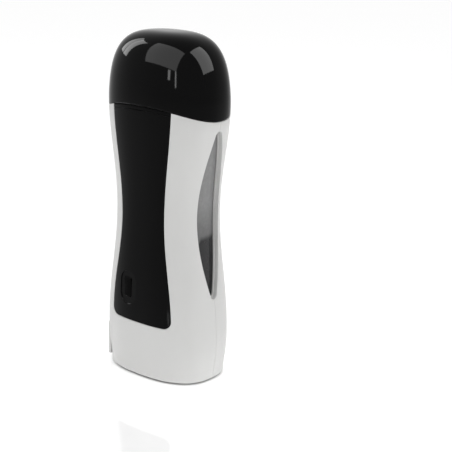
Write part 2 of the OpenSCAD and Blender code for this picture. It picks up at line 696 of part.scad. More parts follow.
// Neck ring: follows the shells inside, and stands straight inside the cap. Its front
// lies deeper, because the shell behind the panel does.
neck_w = half_w(joint_z) - cap_wall - neck_gap;
neck_d = half_d(joint_at(half_d(joint_z))) - cap_wall - neck_gap;
function neck_row(z, d) = [for (i = [0:ring_steps - 1]) let (
    t = 360 * i / ring_steps, e = 2 / square(joint_z), c = cos(t), s = sin(t),
    w = min(axis_w(z, wall + fit_gap), neck_w) - d,
    h = min(axis_d(z, (s < 0 ? wall_d : wall) + fit_gap), neck_d) - d)
    [w * sgn(c) * pow(abs(c), e), h * sgn(s) * pow(abs(s), e), z]];
neck_levels = [neck_low, joint_z, joint_at(half_d(joint_z)), neck_top];
module neck_ring() color(c_matt) {
    difference() {
        union() {
            sheet([for (z = neck_levels) neck_row(z, 0)], [for (z = neck_levels) neck_row(z, neck_wall)],
                wrap = true);
            translate([0, 0, neck_top - neck_deck]) linear_extrude(neck_deck)
                polygon([for (p = neck_row(neck_top, neck_wall / 2)) [p[0], p[1]]]);
            chamber_prism(neck_low, neck_top - neck_deck / 2, seat_gap + collar_wall);
        }
        chamber_prism(neck_low - 1, neck_top + 1, seat_gap);
    }
}

module base_outline() polygon([for (i = [0:ring_steps - 1]) let (
    t = 360 * i / ring_steps, e = 2 / low_square, c = cos(t), s = sin(t))
    [base_w / 2 * sgn(c) * pow(abs(c), e), base_d / 2 * sgn(s) * pow(abs(s), e)]]);
function base_edge(x) = base_d / 2 * pow(1 - pow(unit(x / (base_w / 2)), low_square), 1 / low_square);

module at_legs() for (sx = [-1, 1], sy = [-1, 1])
    translate([sx * leg_x, well_back + sy * leg_y, 0]) children();

module base_plate() color(c_matt) difference() {
    union() {
        linear_extrude(base_t) base_outline();
        at_legs() cylinder(h = base_t + peg_h, d = peg_d, $fn = 24);
    }
    for (sx = [-1, 1], sy = [-1, 1]) translate([sx * boss_x, sy * boss_y, 0]) {
        translate([0, 0, -1]) cylinder(h = base_t + 2, d = base_screw_d + 2 * shank_gap, $fn = 24);
        translate([0, 0, -1])
            cylinder(h = 1 + head_sink + base_head_t + head_seat, d = base_head_d + 2 * head_gap, $fn = 32);
    }
}

// ---- Power button -----------------------------------------------------------

module power_button() color(c_matt) translate([-button_x, 0, button_z]) {
    along_y(button_y, flange_y + flange_t / 2) rounded(button_w, button_h, button_r);
    along_y(flange_y, flange_y + flange_t)
        rounded(button_w + 2 * flange_rim, button_h + 2 * flange_rim, button_r + flange_rim);
    rod_y(0, 0, flange_y, switch_y + switch_t - button_travel - seat_gap, stem_d);
}

// ---- Mains inlet ------------------------------------------------------------

// Outline of the inlet, in the Y-Z plane
module inlet_shape(grow) {
    for (sy = [-1, 1]) translate([sy * lobe_y, inlet_z]) circle(r = lobe_r + grow, $fn = 40);
    translate([-lobe_y, inlet_z - lobe_waist / 2 - grow]) square([2 * lobe_y, lobe_waist + 2 * grow]);
}
module along_x(x0, x1) translate([x0, 0, 0]) rotate([90, 0, 90]) linear_extrude(x1 - x0) children();

pad_levels = concat([pad_low], [for (i = [0:4]) pad_high - pad_round * (1 - sin(22.5 * i))]);
function pad_edge(y, z) = let (n = low_square, w = hip_w / 2 + pad_proud, h = half_d(hip_z) + pad_proud)
    w * pow(1 - pow(unit(abs(y) / h), n), 1 / n)
    - arc_inset((pad_high - z) / pad_round, pad_round) * 0.9;
function pad_grid(back) = [for (z = pad_levels) [for (i = [0:12]) let (y = pad_half * (1 - i / 6))
    [-(back ? pad_back : pad_edge(y, z)), y, z]]];
module inlet_pad() color(c_shell) difference() {
    sheet(pad_grid(false), pad_grid(true));
    along_x(-pad_x - 1, -pad_back + 1) inlet_shape(0);
}

module inlet_socket() color(c_matt) difference() {
    union() {
        along_x(-pad_back + seat_gap, -socket_x + socket_floor) inlet_shape(socket_wall);
        along_x(-socket_x, -socket_x + socket_back) translate([-core_half, inlet_z - lobe_waist / 2])
            square([2 * core_half, lobe_waist]);
    }
    along_x(-pad_back - 1, -socket_x) inlet_shape(0);
    for (s = [-1, 1]) translate([-socket_x - 1, s * pin_pitch / 2, inlet_z]) rotate([0, 90, 0])
        cylinder(h = socket_back + 2, d = pin_d + 2 * press_gap, $fn = 24);
}

module inlet_pins() color(c_metal) for (s = [-1, 1])
    translate([-pad_x + pin_shy, s * pin_pitch / 2, inlet_z]) rotate([0, 90, 0])
        cylinder(h = inlet_deep - pin_shy + socket_back + pin_tail, d = pin_d, $fn = 24);

// ---- Heating chamber --------------------------------------------------------

module heating_chamber() color(c_metal) difference() {
    union() {
        chamber_prism(chamber_low, chamber_high, chamber_wall);
        chamber_prism(chamber_high - chamber_rim_t, chamber_high, chamber_wall + chamber_rim);
    }
    chamber_prism(well_z, chamber_high + 1, 0);
    translate([0, well_back, 0]) rotate([90, 0, 90]) translate([0, 0, -chamber_w])
        linear_extrude(2 * chamber_w) translate([0, window_mid])
            rounded(slot_w, 2 * (window_half - slot_less), slot_w / 2 - tiny);
}

module chamber_cradle() color(c_matt) difference() {
    union() {
        chamber_prism(cradle_low, cradle_low + cradle_t, chamber_wall);
        difference() {
            chamber_prism(cradle_low, cradle_high, chamber_wall + cradle_gap + cradle_wall);
            chamber_prism(cradle_low + cradle_t, cradle_high + 1, chamber_wall + cradle_gap);
            translate([-well_w, -well_d, cradle_low - 1])
                cube([2 * well_w, well_back - leg_y + well_d, cradle_t + cradle_rim_h + 2]);
        }
        at_legs() translate([0, 0, base_t]) cylinder(h = cradle_low - base_t + 1, d = leg_d, $fn = 32);
    }
    at_legs() translate([0, 0, base_t - 1]) cylinder(h = peg_h + 1.5, d = peg_d + 2 * peg_gap, $fn = 24);
}

module heater_plate(y) color([0.55, 0.42, 0.25]) translate([-heater_w / 2, y, heater_z])
    cube([heater_w, heater_t, heater_h]);
module front_heater() heater_plate(chamber_front - heater_t - press_gap);
module back_heater() heater_plate(chamber_rear + press_gap);

// Spring bands that press both heaters on the chamber
module band_shape(g) hull() for (sx = [-1, 1], sy = [-1, 1]) {
    translate([sx * (chamber_w / 2 - chamber_r), sy * (chamber_d / 2 - chamber_r)])
        circle(r = chamber_r + g, $fn = 32);
    translate([sx * heater_w / 2, sy * (chamber_d / 2 + heater_t - 1)]) circle(r = 1 + g, $fn = 32);
}
module clip_bands() color(c_metal)
    for (z = [heater_z + band_inset, heater_z + heater_h - band_inset - band_h])
    translate([0, well_back, z]) linear_extrude(band_h) difference() {
        band_shape(band_gap + band_t);
        band_shape(band_gap);
    }

module thermostat() color([0.25, 0.2, 0.16])
    translate([-sensor_x - thermostat_w / 2, chamber_rear + press_gap, thermostat_z])
        cube([thermostat_w, thermostat_t, thermostat_h]);

fuse_z = thermostat_z + thermostat_h / 2;
fuse_y = chamber_rear + press_gap + fuse_d / 2;
strap_r = fuse_d / 2 + strap_gap;
module thermal_fuse() color([0.85, 0.85, 0.82]) translate([sensor_x, fuse_y, fuse_z - fuse_l / 2])
    cylinder(h = fuse_l, d = fuse_d, $fn = 24);

module fuse_strap() color(c_metal)
    translate([sensor_x, chamber_rear + press_gap, fuse_z - strap_h / 2]) linear_extrude(strap_h)
    difference() {
        union() {
            translate([0, fuse_d / 2]) circle(r = strap_r + strap_t, $fn = 32);
            translate([-strap_r - strap_t - strap_foot, 0])
                square([2 * (strap_r + strap_t + strap_foot), strap_t]);
        }
        translate([0, fuse_d / 2]) circle(r = strap_r, $fn = 32);
        translate([-strap_r, -1]) square([2 * strap_r, 1 + fuse_d / 2]);
        translate([-chamber_w, -2]) square([2 * chamber_w, 2]);
    }

// ---- Circuit board ----------------------------------------------------------

module circuit_board() color(c_board) difference() {
    translate([-board_w / 2, board_face, board_low]) cube([board_w, board_t, board_high - board_low]);
    at_board_holes() rod_y(0, 0, board_face - 1, board_y + 1, hole_d);
}

module power_switch() color(c_matt) difference() {
    translate([-button_x - switch_w / 2, switch_y, button_z - switch_w / 2])
        cube([switch_w, switch_t - press_gap, switch_w]);
    rod_y(-button_x, button_z, switch_y - 1, board_face + 1, stem_d + 0.5);
}

component_z = board_low + 4;
module relay() color([0.15, 0.3, 0.55]) translate([-relay_w - 0.5, board_y + press_gap, component_z])
    cube([relay_w, relay_t, relay_l]);
module capacitor() color([0.15, 0.15, 0.3]) rod_y(cap_can_d / 2 + 1.5, component_z + cap_can_d / 2,
    board_y + press_gap, board_y + cap_can_h, cap_can_d);

module board_screws() color(c_metal) at_board_holes() {
    rod_y(0, 0, board_y - board_screw_l, board_y + press_gap, board_screw_d);
    rod_y(0, 0, board_y + press_gap, board_y + press_gap + board_head_t, board_head_d);
}

module base_screws() color(c_metal) for (sx = [-1, 1], sy = [-1, 1])
    translate([sx * boss_x, sy * boss_y, 0]) difference() {
        union() {
            translate([0, 0, base_head_t + head_sink])
                cylinder(h = base_screw_l, d = base_screw_d, $fn = 24);
            translate([0, 0, head_sink]) cylinder(h = base_head_t, d = base_head_d, $fn = 32);
        }
        for (a = [0, 90]) rotate(a) translate([-cross_w / 2, -cross_t / 2, 0])
            cube([cross_w, cross_t, head_sink + cross_deep]);
    }

// ---- Wires ------------------------------------------------------------------

// Smooth path through points, as a chain of quadratic curves between mid points
function mids(p) = concat([p[0]], [for (i = [1:len(p) - 3]) (p[i] + p[i + 1]) / 2], [p[len(p) - 1]]);
function smooth(p, n) = let (m = mids(p)) concat(
    [for (i = [0:len(m) - 2], j = [0:n - 1]) let (t = j / n, a = m[i], b = p[i + 1], c = m[i + 1])
        a * pow(1 - t, 2) + b * 2 * t * (1 - t) + c * pow(t, 2)], [m[len(m) - 1]]);
function unit_vec(v) = v / norm(v);

// Tube of six sides along a path; side gives the direction that the path never takes
module wire(points, side) {
    path = smooth(points, 4);
    n = len(path);
    ring = [for (i = [0:n - 1]) let (
        t = unit_vec(path[min(i + 1, n - 1)] - path[max(i - 1, 0)]),
        u = unit_vec(cross(t, side)), v = cross(t, u))
        [for (k = [0:5]) path[i] + wire_d / 2 * (cos(60 * k) * u + sin(60 * k) * v)]];
    polyhedron(flat(ring), concat(
        [for (i = [0:n - 2], k = [0:5]) let (a = i * 6 + k, b = i * 6 + (k + 1) % 6)
            each [[a, a + 6, b + 6], [a, b + 6, b]]],
        [[0, 1, 2, 3, 4, 5]], [[for (k = [5:-1:0]) (n - 1) * 6 + k]]));
}

// From the inlet pins' tails to the board, one beside the relay and one over it
tail_x = -socket_x + socket_back + pin_tail + wire_gap;
wire_foot = board_y + wire_gap;                 // where wires meet the board
module mains_wires() color([0.55, 0.3, 0.15]) {
    side_x = -relay_w - 2;
    over_z = component_z + relay_l + 3;
    wire([[tail_x, -pin_pitch / 2, inlet_z], [tail_x + 3, -pin_pitch / 2, inlet_z],
        [side_x, -pin_pitch / 2, inlet_z + 3], [side_x, -11, inlet_z + 8],
        [side_x, wire_foot, inlet_z + 8]], [0, 0, 1]);
    wire([[tail_x, pin_pitch / 2, inlet_z], [tail_x + 3, pin_pitch / 2, inlet_z],
        [side_x, pin_pitch / 2, inlet_z + 5], [side_x + 1, 0, over_z], [side_x + 1, -9, over_z],
        [side_x + 1, wire_foot, over_z]], [0.2, 0, 1]);
}

// From the top of the board's front up to the front heater
module heater_wires() color([0.75, 0.15, 0.12]) for (s = [-1, 1]) let (
    x = s * heater_w / 5, y_low = board_face - 0.3 - wire_d / 2, y_high = chamber_front - 0.2 - wire_d / 2)
    wire([[x, y_low, board_high - 6], [x, y_low, board_high], [x, (y_low + y_high) / 2, board_high + 3],
        [x, y_high, heater_z - 4], [x, y_high, heater_z - 0.1]], [1, 0, 0]);

// From thermostat and fuse down behind the cradle, under it and forward to the board
module sensor_wires() color([0.85, 0.85, 0.85]) for (s = [-1, 1]) let (
    x = s * sensor_x, y_high = chamber_rear + wire_d,
    y_low = chamber_rear + cradle_wall + 0.8 + wire_d / 2, z_low = cradle_low - 3)
    wire([[x, y_high, s < 0 ? thermostat_z - 0.1 : fuse_z - fuse_l / 2 - 0.1], [x, y_high, thermostat_z - 4],
        [x, y_low, cradle_high + 3], [x, y_low, z_low], [x, y_low - 6, z_low],
        [x, -6, z_low], [x, wire_foot, z_low]], [1, 0, 0]);

// ---- Assembly ---------------------------------------------------------------

front_shell();
back_shell();
front_panel();
window_right();
window_left();
cap();
neck_ring();
base_plate();
power_button();
inlet_pad();
inlet_socket();
inlet_pins();
heating_chamber();
chamber_cradle();
front_heater();
back_heater();
clip_bands();
thermostat();
thermal_fuse();
fuse_strap();
circuit_board();
power_switch();
relay();
capacitor();
board_screws();
base_screws();
mains_wires();
heater_wires();
sensor_wires();
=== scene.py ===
"""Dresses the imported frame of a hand-held warmer for roll-on wax cartridges.

The housing's shells, the cap, the panel, the panes, the neck ring, the inlet pad and the
button get smooth meshes on the frame's own outline, and a light bead is added round each
pane. Every other node keeps its CAD mesh and gets a finish. Sizes are in millimetres, and
become metres when a mesh is placed. The studio's sizes are in metres.
"""

import json
import logging
import math
from dataclasses import dataclass, field, replace
from enum import Enum
from itertools import chain
from typing import Iterable, Sequence

import bmesh
import bpy
from mathutils import Matrix, Vector

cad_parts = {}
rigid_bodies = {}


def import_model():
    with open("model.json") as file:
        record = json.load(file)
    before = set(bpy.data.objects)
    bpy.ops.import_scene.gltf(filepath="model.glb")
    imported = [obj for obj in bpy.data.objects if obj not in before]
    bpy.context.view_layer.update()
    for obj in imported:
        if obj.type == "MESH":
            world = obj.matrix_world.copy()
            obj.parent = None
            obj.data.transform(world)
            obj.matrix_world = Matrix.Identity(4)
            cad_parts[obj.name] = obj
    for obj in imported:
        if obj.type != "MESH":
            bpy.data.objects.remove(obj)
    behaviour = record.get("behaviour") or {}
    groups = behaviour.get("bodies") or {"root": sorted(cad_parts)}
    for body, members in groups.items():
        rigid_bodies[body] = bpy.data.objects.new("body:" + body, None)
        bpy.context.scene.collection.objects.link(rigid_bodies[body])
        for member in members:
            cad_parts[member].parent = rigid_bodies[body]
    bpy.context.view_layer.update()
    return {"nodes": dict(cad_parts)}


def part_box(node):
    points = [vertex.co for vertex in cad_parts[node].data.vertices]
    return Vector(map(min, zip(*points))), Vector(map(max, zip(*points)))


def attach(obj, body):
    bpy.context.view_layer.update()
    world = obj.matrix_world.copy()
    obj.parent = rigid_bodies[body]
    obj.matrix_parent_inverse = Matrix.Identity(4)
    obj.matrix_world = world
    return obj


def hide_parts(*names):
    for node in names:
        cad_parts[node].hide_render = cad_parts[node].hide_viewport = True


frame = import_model()

MM = 0.001
MERGE = 2e-7  # metres within which two points become one
CLOSE = 0.01  # millimetres within which two heights count as one
FULL_TURN = 2 * math.pi
LOG = logging.getLogger("warmer")

Rows = list[list[Vector]]
Triple = tuple[float, float, float]
Colour = Triple


class Body(Enum):
    """Rigid bodies of the frame that pieces ride on."""

    HOUSING = "housing"
    CAP = "cap"
    BUTTON = "power_button"


class Side(Enum):
    """The two sides of the housing, as the sign of their direction along X."""

    RIGHT = 1
    LEFT = -1


# ---- Outline -----------------------------------------------------------------


def unit(t: float) -> float:
    """Limits t to the range 0 to 1."""
    return min(max(t, 0.0), 1.0)


def blend(z: float, z0: float, v0: float, z1: float, v1: float) -> float:
    """Eases from v0 at height z0 to v1 at height z1."""
    return v0 + (v1 - v0) * (1 - math.cos(math.pi * unit((z - z0) / (z1 - z0)))) / 2


def arc_inset(share: float, radius: float) -> float:
    """Inset of a quarter round of the given radius, at a share of its height."""
    return radius * (1 - math.sqrt(1 - (1 - unit(share)) ** 2))


def steps(low: float, high: float, spacing: float) -> list[float]:
    """Heights from low to high, about a spacing apart, both ends included."""
    count = max(1, math.ceil((high - low) / spacing))
    return [low + (high - low) * i / count for i in range(count + 1)]


def ordered(levels: Iterable[float]) -> list[float]:
    """Sorts heights and drops those too close to the last.

    Args:
        levels: Heights in any order.

    Returns:
        The heights kept, from low to high.
    """
    kept: list[float] = []
    for level in sorted(levels):
        if not kept or level > kept[-1] + CLOSE:
            kept.append(level)
    return kept


def round_rises(radius: float, parts: int) -> list[float]:
    """Rises of the rows on a quarter round, from none to its radius."""
    return [radius * (1 - math.cos(math.radians(90 / parts * i))) for i in range(parts + 1)]


def shares(count: int) -> list[float]:
    """Even shares from 0 to 1, both ends included."""
    return [i / count for i in range(count + 1)]


def spread(count: int) -> list[float]:
    """Even shares from -1 to 1, both ends included."""
    return [2 * j / count - 1 for j in range(count + 1)]


def oval(angle: float, half_w: float, half_d: float, square: float, z: float) -> Vector:
    """Point of a level superellipse.

    Args:
        angle: Parameter angle in radians.
        half_w: Half width along X.
        half_d: Half depth along Y.
        square: Exponent of the superellipse, where 2 is an ellipse.
        z: Height.

    Returns:
        The point.
    """
    power = 2 / square
    c, s = math.cos(angle), math.sin(angle)
    x = half_w * math.copysign(abs(c) ** power, c)
    y = half_d * math.copysign(abs(s) ** power, s)
    return Vector((x, y, z))


def direction(azimuth: float, elevation: float) -> Vector:
    """Unit vector towards an azimuth from the front and an elevation, both in degrees."""
    a, e = math.radians(azimuth), math.radians(elevation)
    return Vector((math.sin(a) * math.cos(e), -math.cos(a) * math.cos(e), math.sin(e)))


@dataclass(frozen=True)
class Outline:
    """The one outer surface that shells, cap, panel and panes share.

    Sections are superellipses whose width, depth and squareness ease along the height, and a
    crown closes them at the top.
    """

    height: float = 200.0
    foot_w: float = 70.8
    hip_w: float = 75.4
    hip_z: float = 21.0
    waist_w: float = 62.0
    waist_z: float = 97.0
    shoulder_w: float = 76.8
    shoulder_z: float = 166.0
    foot_d: float = 49.4
    belly_d: float = 51.6
    belly_z: float = 41.0
    waist_d: float = 47.2
    shoulder_d: float = 52.2
    low_square: float = 2.54
    top_square: float = 2.23
    square_low: float = 60.0
    square_high: float = 180.0
    crown_z: float = 146.0
    crown_hold: float = 3.4
    crown_tight: float = 3.56
    joint_z: float = 153.6
    joint_r: float = 49.0
    joint_gap: float = 0.4
    wave_z: float = 118.0
    wave_power: float = 1.5

    def half_width(self, z: float) -> float:
        """Half width of the section at height z, before the crown.

        Args:
            z: Height.

        Returns:
            The half width.
        """
        if z < self.hip_z:
            return blend(z, 0, self.foot_w, self.hip_z, self.hip_w) / 2
        if z < self.waist_z:
            return blend(z, self.hip_z, self.hip_w, self.waist_z, self.waist_w) / 2
        return blend(z, self.waist_z, self.waist_w, self.shoulder_z, self.shoulder_w) / 2

    def half_depth(self, z: float) -> float:
        """Half depth of the section at height z, before the crown.

        Args:
            z: Height.

        Returns:
            The half depth.
        """
        if z < self.belly_z:
            return blend(z, 0, self.foot_d, self.belly_z, self.belly_d) / 2
        if z < self.waist_z:
            return blend(z, self.belly_z, self.belly_d, self.waist_z, self.waist_d) / 2
        return blend(z, self.waist_z, self.waist_d, self.shoulder_z, self.shoulder_d) / 2

    def square(self, z: float) -> float:
        """Exponent of the section at height z, where 2 is an ellipse."""
        return blend(z, self.square_low, self.low_square, self.square_high, self.top_square)

    def crown(self, z: float, inset: float) -> float:
        """Share of the section that the crown leaves at height z.

        Args:
            z: Height.
            inset: Inset from the outline.

        Returns:
            The share, 1 below the crown and 0 at its tip.
        """
        if z <= self.crown_z:
            return 1.0
        share = unit((z - self.crown_z) / (self.height - inset - self.crown_z))
        return max(0.0, 1 - share**self.crown_hold) ** (1 / self.crown_tight)

    def crown_level(self, share: float, inset: float) -> float:
        """Height at which the crown leaves the given share of the section."""
        rise = (1 - share**self.crown_tight) ** (1 / self.crown_hold)
        return self.crown_z + (self.height - inset - self.crown_z) * rise

    def axis_w(self, z: float, inset: float) -> float:
        """Half width of the inset section at height z."""
        return (self.half_width(z) - inset) * self.crown(z, inset)

    def axis_d(self, z: float, inset: float) -> float:
        """Half depth of the inset section at height z."""
        return (self.half_depth(z) - inset) * self.crown(z, inset)

    def plan(self, angle: float, z: float, inset: float) -> Vector:
        """Point of the inset section at a parameter angle in radians."""
        return oval(angle, self.axis_w(z, inset), self.axis_d(z, inset), self.square(z), z)

    def front_y(self, x: float, z: float, inset: float) -> float:
        """Depth of the inset front surface at x and z."""
        n = self.square(z)
        return -self.axis_d(z, inset) * (1 - unit(abs(x) / self.axis_w(z, inset)) ** n) ** (1 / n)

    def side_x(self, y: float, z: float, inset: float) -> float:
        """Distance of the inset side surface from the middle, at y and z."""
        n = self.square(z)
        return self.axis_w(z, inset) * (1 - unit(abs(y) / self.axis_d(z, inset)) ** n) ** (1 / n)

    def angle_at_y(self, y: float, z: float, inset: float) -> float:
        """Parameter angle from the side at which the section is y deep."""
        return math.asin(unit(y / self.axis_d(z, inset)) ** (self.square(z) / 2))

    def angle_at_x(self, x: float, z: float, inset: float) -> float:
        """Parameter angle from the side at which the section is x from the middle."""
        return math.acos(unit(x / self.axis_w(z, inset)) ** (self.square(z) / 2))

    @property
    def shell_high(self) -> float:
        """Height of the shells' upper edge at the sides."""
        return self.joint_z - self.joint_gap / 2

    def joint(self, y: float) -> float:
        """Height of the joint under the cap at depth y."""
        return self.joint_z + self.joint_r - math.sqrt(self.joint_r**2 - y * y)

    def wave(self, z: float, y: float) -> float:
        """Raises a level section towards the joint's wave."""
        share = unit((z - self.wave_z) / (self.shell_high - self.wave_z))
        return z + (self.joint(y) - self.joint_z) * share**self.wave_power


@dataclass(frozen=True)
class Leaf:
    """Leaf-shaped opening in each side of the housing, a lens grown by the radius of its tips."""

    low: float = 50.0
    high: float = 148.0
    width: float = 18.6
    tip: float = 2.8

    @property
    def middle(self) -> float:
        """Height of the leaf's middle."""
        return (self.low + self.high) / 2

    @property
    def half(self) -> float:
        """Half height of the leaf."""
        return (self.high - self.low) / 2

    def half_width(self, z: float) -> float:
        """Half width of the leaf at height z.

        Args:
            z: Height.

        Returns:
            The half width, 0 outside the leaf.
        """
        away = abs(z - self.middle)
        if away >= self.half:
            return 0.0
        lens_half, lens_w = self.half - self.tip, self.width / 2 - self.tip
        radius = (lens_half**2 + lens_w**2) / (2 * lens_w)
        if away > lens_half * (radius + self.tip) / radius:
            return math.sqrt(self.tip**2 - (away - lens_half) ** 2)
        return math.sqrt((radius + self.tip) ** 2 - away**2) - (radius - lens_w)

    def levels(self, spacing: float) -> list[float]:
        """Heights of the rows along the leaf, closer together round its tips.

        Args:
            spacing: Distance between rows away from the tips.

        Returns:
            The heights, not in order.
        """
        turns = round_rises(self.tip, 9)[:-1]
        return [
            *(self.low + rise for rise in turns),
            *steps(self.low + turns[-1], self.high - turns[-1], spacing),
            *(self.high - rise for rise in turns),
        ]


@dataclass(frozen=True)
class PanelEdge:
    """Edge of the front panel, and of its recess in the front shell."""

    foot_w: float = 45.4
    waist_w: float = 32.2
    top_w: float = 43.2
    low: float = 33.8
    corner: float = 5.0
    gap: float = 0.25

    def half(self, outline: Outline, z: float, gap: float) -> float:
        """Half width inside the edge.

        Args:
            outline: Outline that gives the heights of waist and shoulder.
            z: Height.
            gap: Distance kept from the recess's edge.

        Returns:
            Half width at height z, with the lower corners rounded.
        """
        if z < outline.waist_z:
            wide = blend(z, self.low, self.foot_w, outline.waist_z, self.waist_w)
        else:
            wide = blend(z, outline.waist_z, self.waist_w, outline.shoulder_z, self.top_w)
        radius = self.corner - gap
        return wide / 2 - gap - arc_inset((z - self.low - gap) / radius, radius)


OUTLINE = Outline()
LEAF = Leaf()
PANEL = PanelEdge()
SHELL_WALL = 2.4
CAP_WALL = 2.0
PANEL_FLOOR = 2.9  # inset of the shell's inner surface behind the panel


# ---- Mesh tools --------------------------------------------------------------


def lay_grid(bm: bmesh.types.BMesh, rows: Rows) -> None:
    """Adds a grid to a bmesh and lays its points on the rows.

    Args:
        bm: Bmesh that takes the grid.
        rows: Places in millimetres, all rows of one length.
    """
    across, along = len(rows[0]) - 1, len(rows) - 1
    made = bmesh.ops.create_grid(bm, x_segments=across, y_segments=along, size=1)
    points = sorted(made["verts"], key=lambda v: (round(v.co.y, 5), round(v.co.x, 5)))
    for point, place in zip(points, chain.from_iterable(rows)):
        point.co = place * MM


def thick_sheet(outer: Rows, inner: Rows) -> bmesh.types.BMesh:
    """Closes the space between two matching sheets with walls along their rims.

    Args:
        outer: Rows of the outer sheet.
        inner: Rows of the inner sheet, as many and as long as the outer's.

    Returns:
        A closed bmesh with its faces outwards.
    """
    bm = bmesh.new()
    lay_grid(bm, outer)
    lay_grid(bm, inner)
    bmesh.ops.remove_doubles(bm, verts=bm.verts, dist=MERGE)
    rims = [e for e in bm.edges if e.is_boundary]
    bmesh.ops.bridge_loops(bm, edges=rims)
    bmesh.ops.recalc_face_normals(bm, faces=bm.faces)
    return bm


def closed_loft(rings: Rows) -> bmesh.types.BMesh:
    """Skins rings of points that come back to the first ring, such as the walls of a collar.

    Args:
        rings: Closed rings in millimetres, each with the same number of points.

    Returns:
        A closed bmesh with its faces outwards.
    """
    bm = bmesh.new()
    lay_grid(bm, [ring + ring[:1] for ring in [*rings, rings[0]]])
    bmesh.ops.remove_doubles(bm, verts=bm.verts, dist=MERGE)
    bmesh.ops.recalc_face_normals(bm, faces=bm.faces)
    return bm


def soften(bm: bmesh.types.BMesh, width: float, segments: int = 2, corner: float = 50.0) -> None:
    """Rounds every edge that is sharper than a corner angle.

    Args:
        bm: Bmesh to round.
        width: Width of the round in millimetres.
        segments: Number of steps across the round.
        corner: Least angle between faces, in degrees, at which an edge is rounded.
    """
    sharp = [
        e
        for e in bm.edges
        if len(e.link_faces) == 2 and e.calc_face_angle(0.0) > math.radians(corner)
    ]
    bmesh.ops.bevel(
        bm,
        geom=sharp,
        offset=width * MM,
        offset_type="OFFSET",
        segments=segments,
        profile=0.5,
        affect="EDGES",
        clamp_overlap=True,
        material=-1,
    )


def block(low: Sequence[float], high: Sequence[float]) -> bmesh.types.BMesh:
    """Makes a box between two corners given in millimetres.

    Args:
        low: Least corner.
        high: Greatest corner.

    Returns:
        A closed bmesh in metres.
    """
    bm = bmesh.new()
    size = [(b - a) * MM for a, b in zip(low, high)]
    middle = Vector([(a + b) / 2 * MM for a, b in zip(low, high)])
    stretched = Matrix.Translation(middle) @ Matrix.Diagonal((*size, 1))
    bmesh.ops.create_cube(bm, size=1, matrix=stretched)
    return bm


def pill(
    width: float,
    height: float,
    radius: float,
    depths: Sequence[tuple[float, float]],
    segments: int = 64,
) -> bmesh.types.BMesh:
    """Makes a round-cornered plug along Y whose outline may flare with depth.

    Args:
        width: Width of the outline along X.
        height: Height of the outline along Z.
        radius: Corner radius.
        depths: Pairs of depth along Y and growth of the outline there, from front to back.
        segments: Number of points on the outline.

    Returns:
        A closed bmesh round the Y axis, in metres.
    """
    bm = bmesh.new()
    start, grow = depths[0]
    ring = bmesh.ops.create_circle(bm, cap_ends=True, segments=segments, radius=radius + grow)
    for point in ring["verts"]:
        x, z = point.co.x, point.co.y
        point.co = (
            x + math.copysign(width / 2 - radius, x),
            start,
            z + math.copysign(height / 2 - radius, z),
        )
    faces = list(bm.faces)
    for step, (depth, wider) in enumerate(depths[1:]):
        made = bmesh.ops.extrude_face_region(bm, geom=faces)["geom"]
        if step:
            bmesh.ops.delete(bm, geom=faces, context="FACES_ONLY")
        faces = [g for g in made if isinstance(g, bmesh.types.BMFace)]
        for point in [g for g in made if isinstance(g, bmesh.types.BMVert)]:
            away = Vector((point.co.x, 0, point.co.z))
            core = Vector(
                (
                    math.copysign(max(width / 2 - radius, 0), point.co.x),
                    0,
                    math.copysign(max(height / 2 - radius, 0), point.co.z),
                )
            )
            spoke = (away - core).normalized() * (radius + wider)
            point.co = (core.x + spoke.x, depth, core.z + spoke.z)
    bmesh.ops.scale(bm, vec=(MM, MM, MM), verts=bm.verts)
    bmesh.ops.remove_doubles(bm, verts=bm.verts, dist=MERGE)
    bmesh.ops.recalc_face_normals(bm, faces=bm.faces)
    return bm


def to_mesh(bm: bmesh.types.BMesh, name: str) -> bpy.types.Mesh:
    """Turns a bmesh into a mesh and frees it.

    Args:
        bm: Bmesh to turn into the mesh.
        name: Name of the mesh.

    Returns:
        The mesh.
    """
    mesh = bpy.data.meshes.new(name)
    bm.to_mesh(mesh)
    bm.free()
    return mesh


def cut(mesh: bpy.types.Mesh, cutter: bmesh.types.BMesh) -> bpy.types.Mesh:
    """Takes one closed form out of another.

    Args:
        mesh: Mesh to cut, which is removed.
        cutter: Bmesh to take out, which is freed.

    Returns:
        The cut mesh.
    """
    scene = bpy.context.scene.collection.objects
    solid = bpy.data.objects.new("cut_solid", mesh)
    tool = bpy.data.objects.new("cut_tool", to_mesh(cutter, "cut_tool"))
    scene.link(solid)
    scene.link(tool)
    modifier = solid.modifiers.new("cut", "BOOLEAN")
    modifier.operation, modifier.solver, modifier.object = "DIFFERENCE", "EXACT", tool
    evaluated = solid.evaluated_get(bpy.context.evaluated_depsgraph_get())
    made = bpy.data.meshes.new_from_object(evaluated)
    spent = tool.data
    bpy.data.objects.remove(solid)
    bpy.data.objects.remove(tool)
    bpy.data.meshes.remove(spent)
    made.name = mesh.name
    bpy.data.meshes.remove(mesh)
    return made


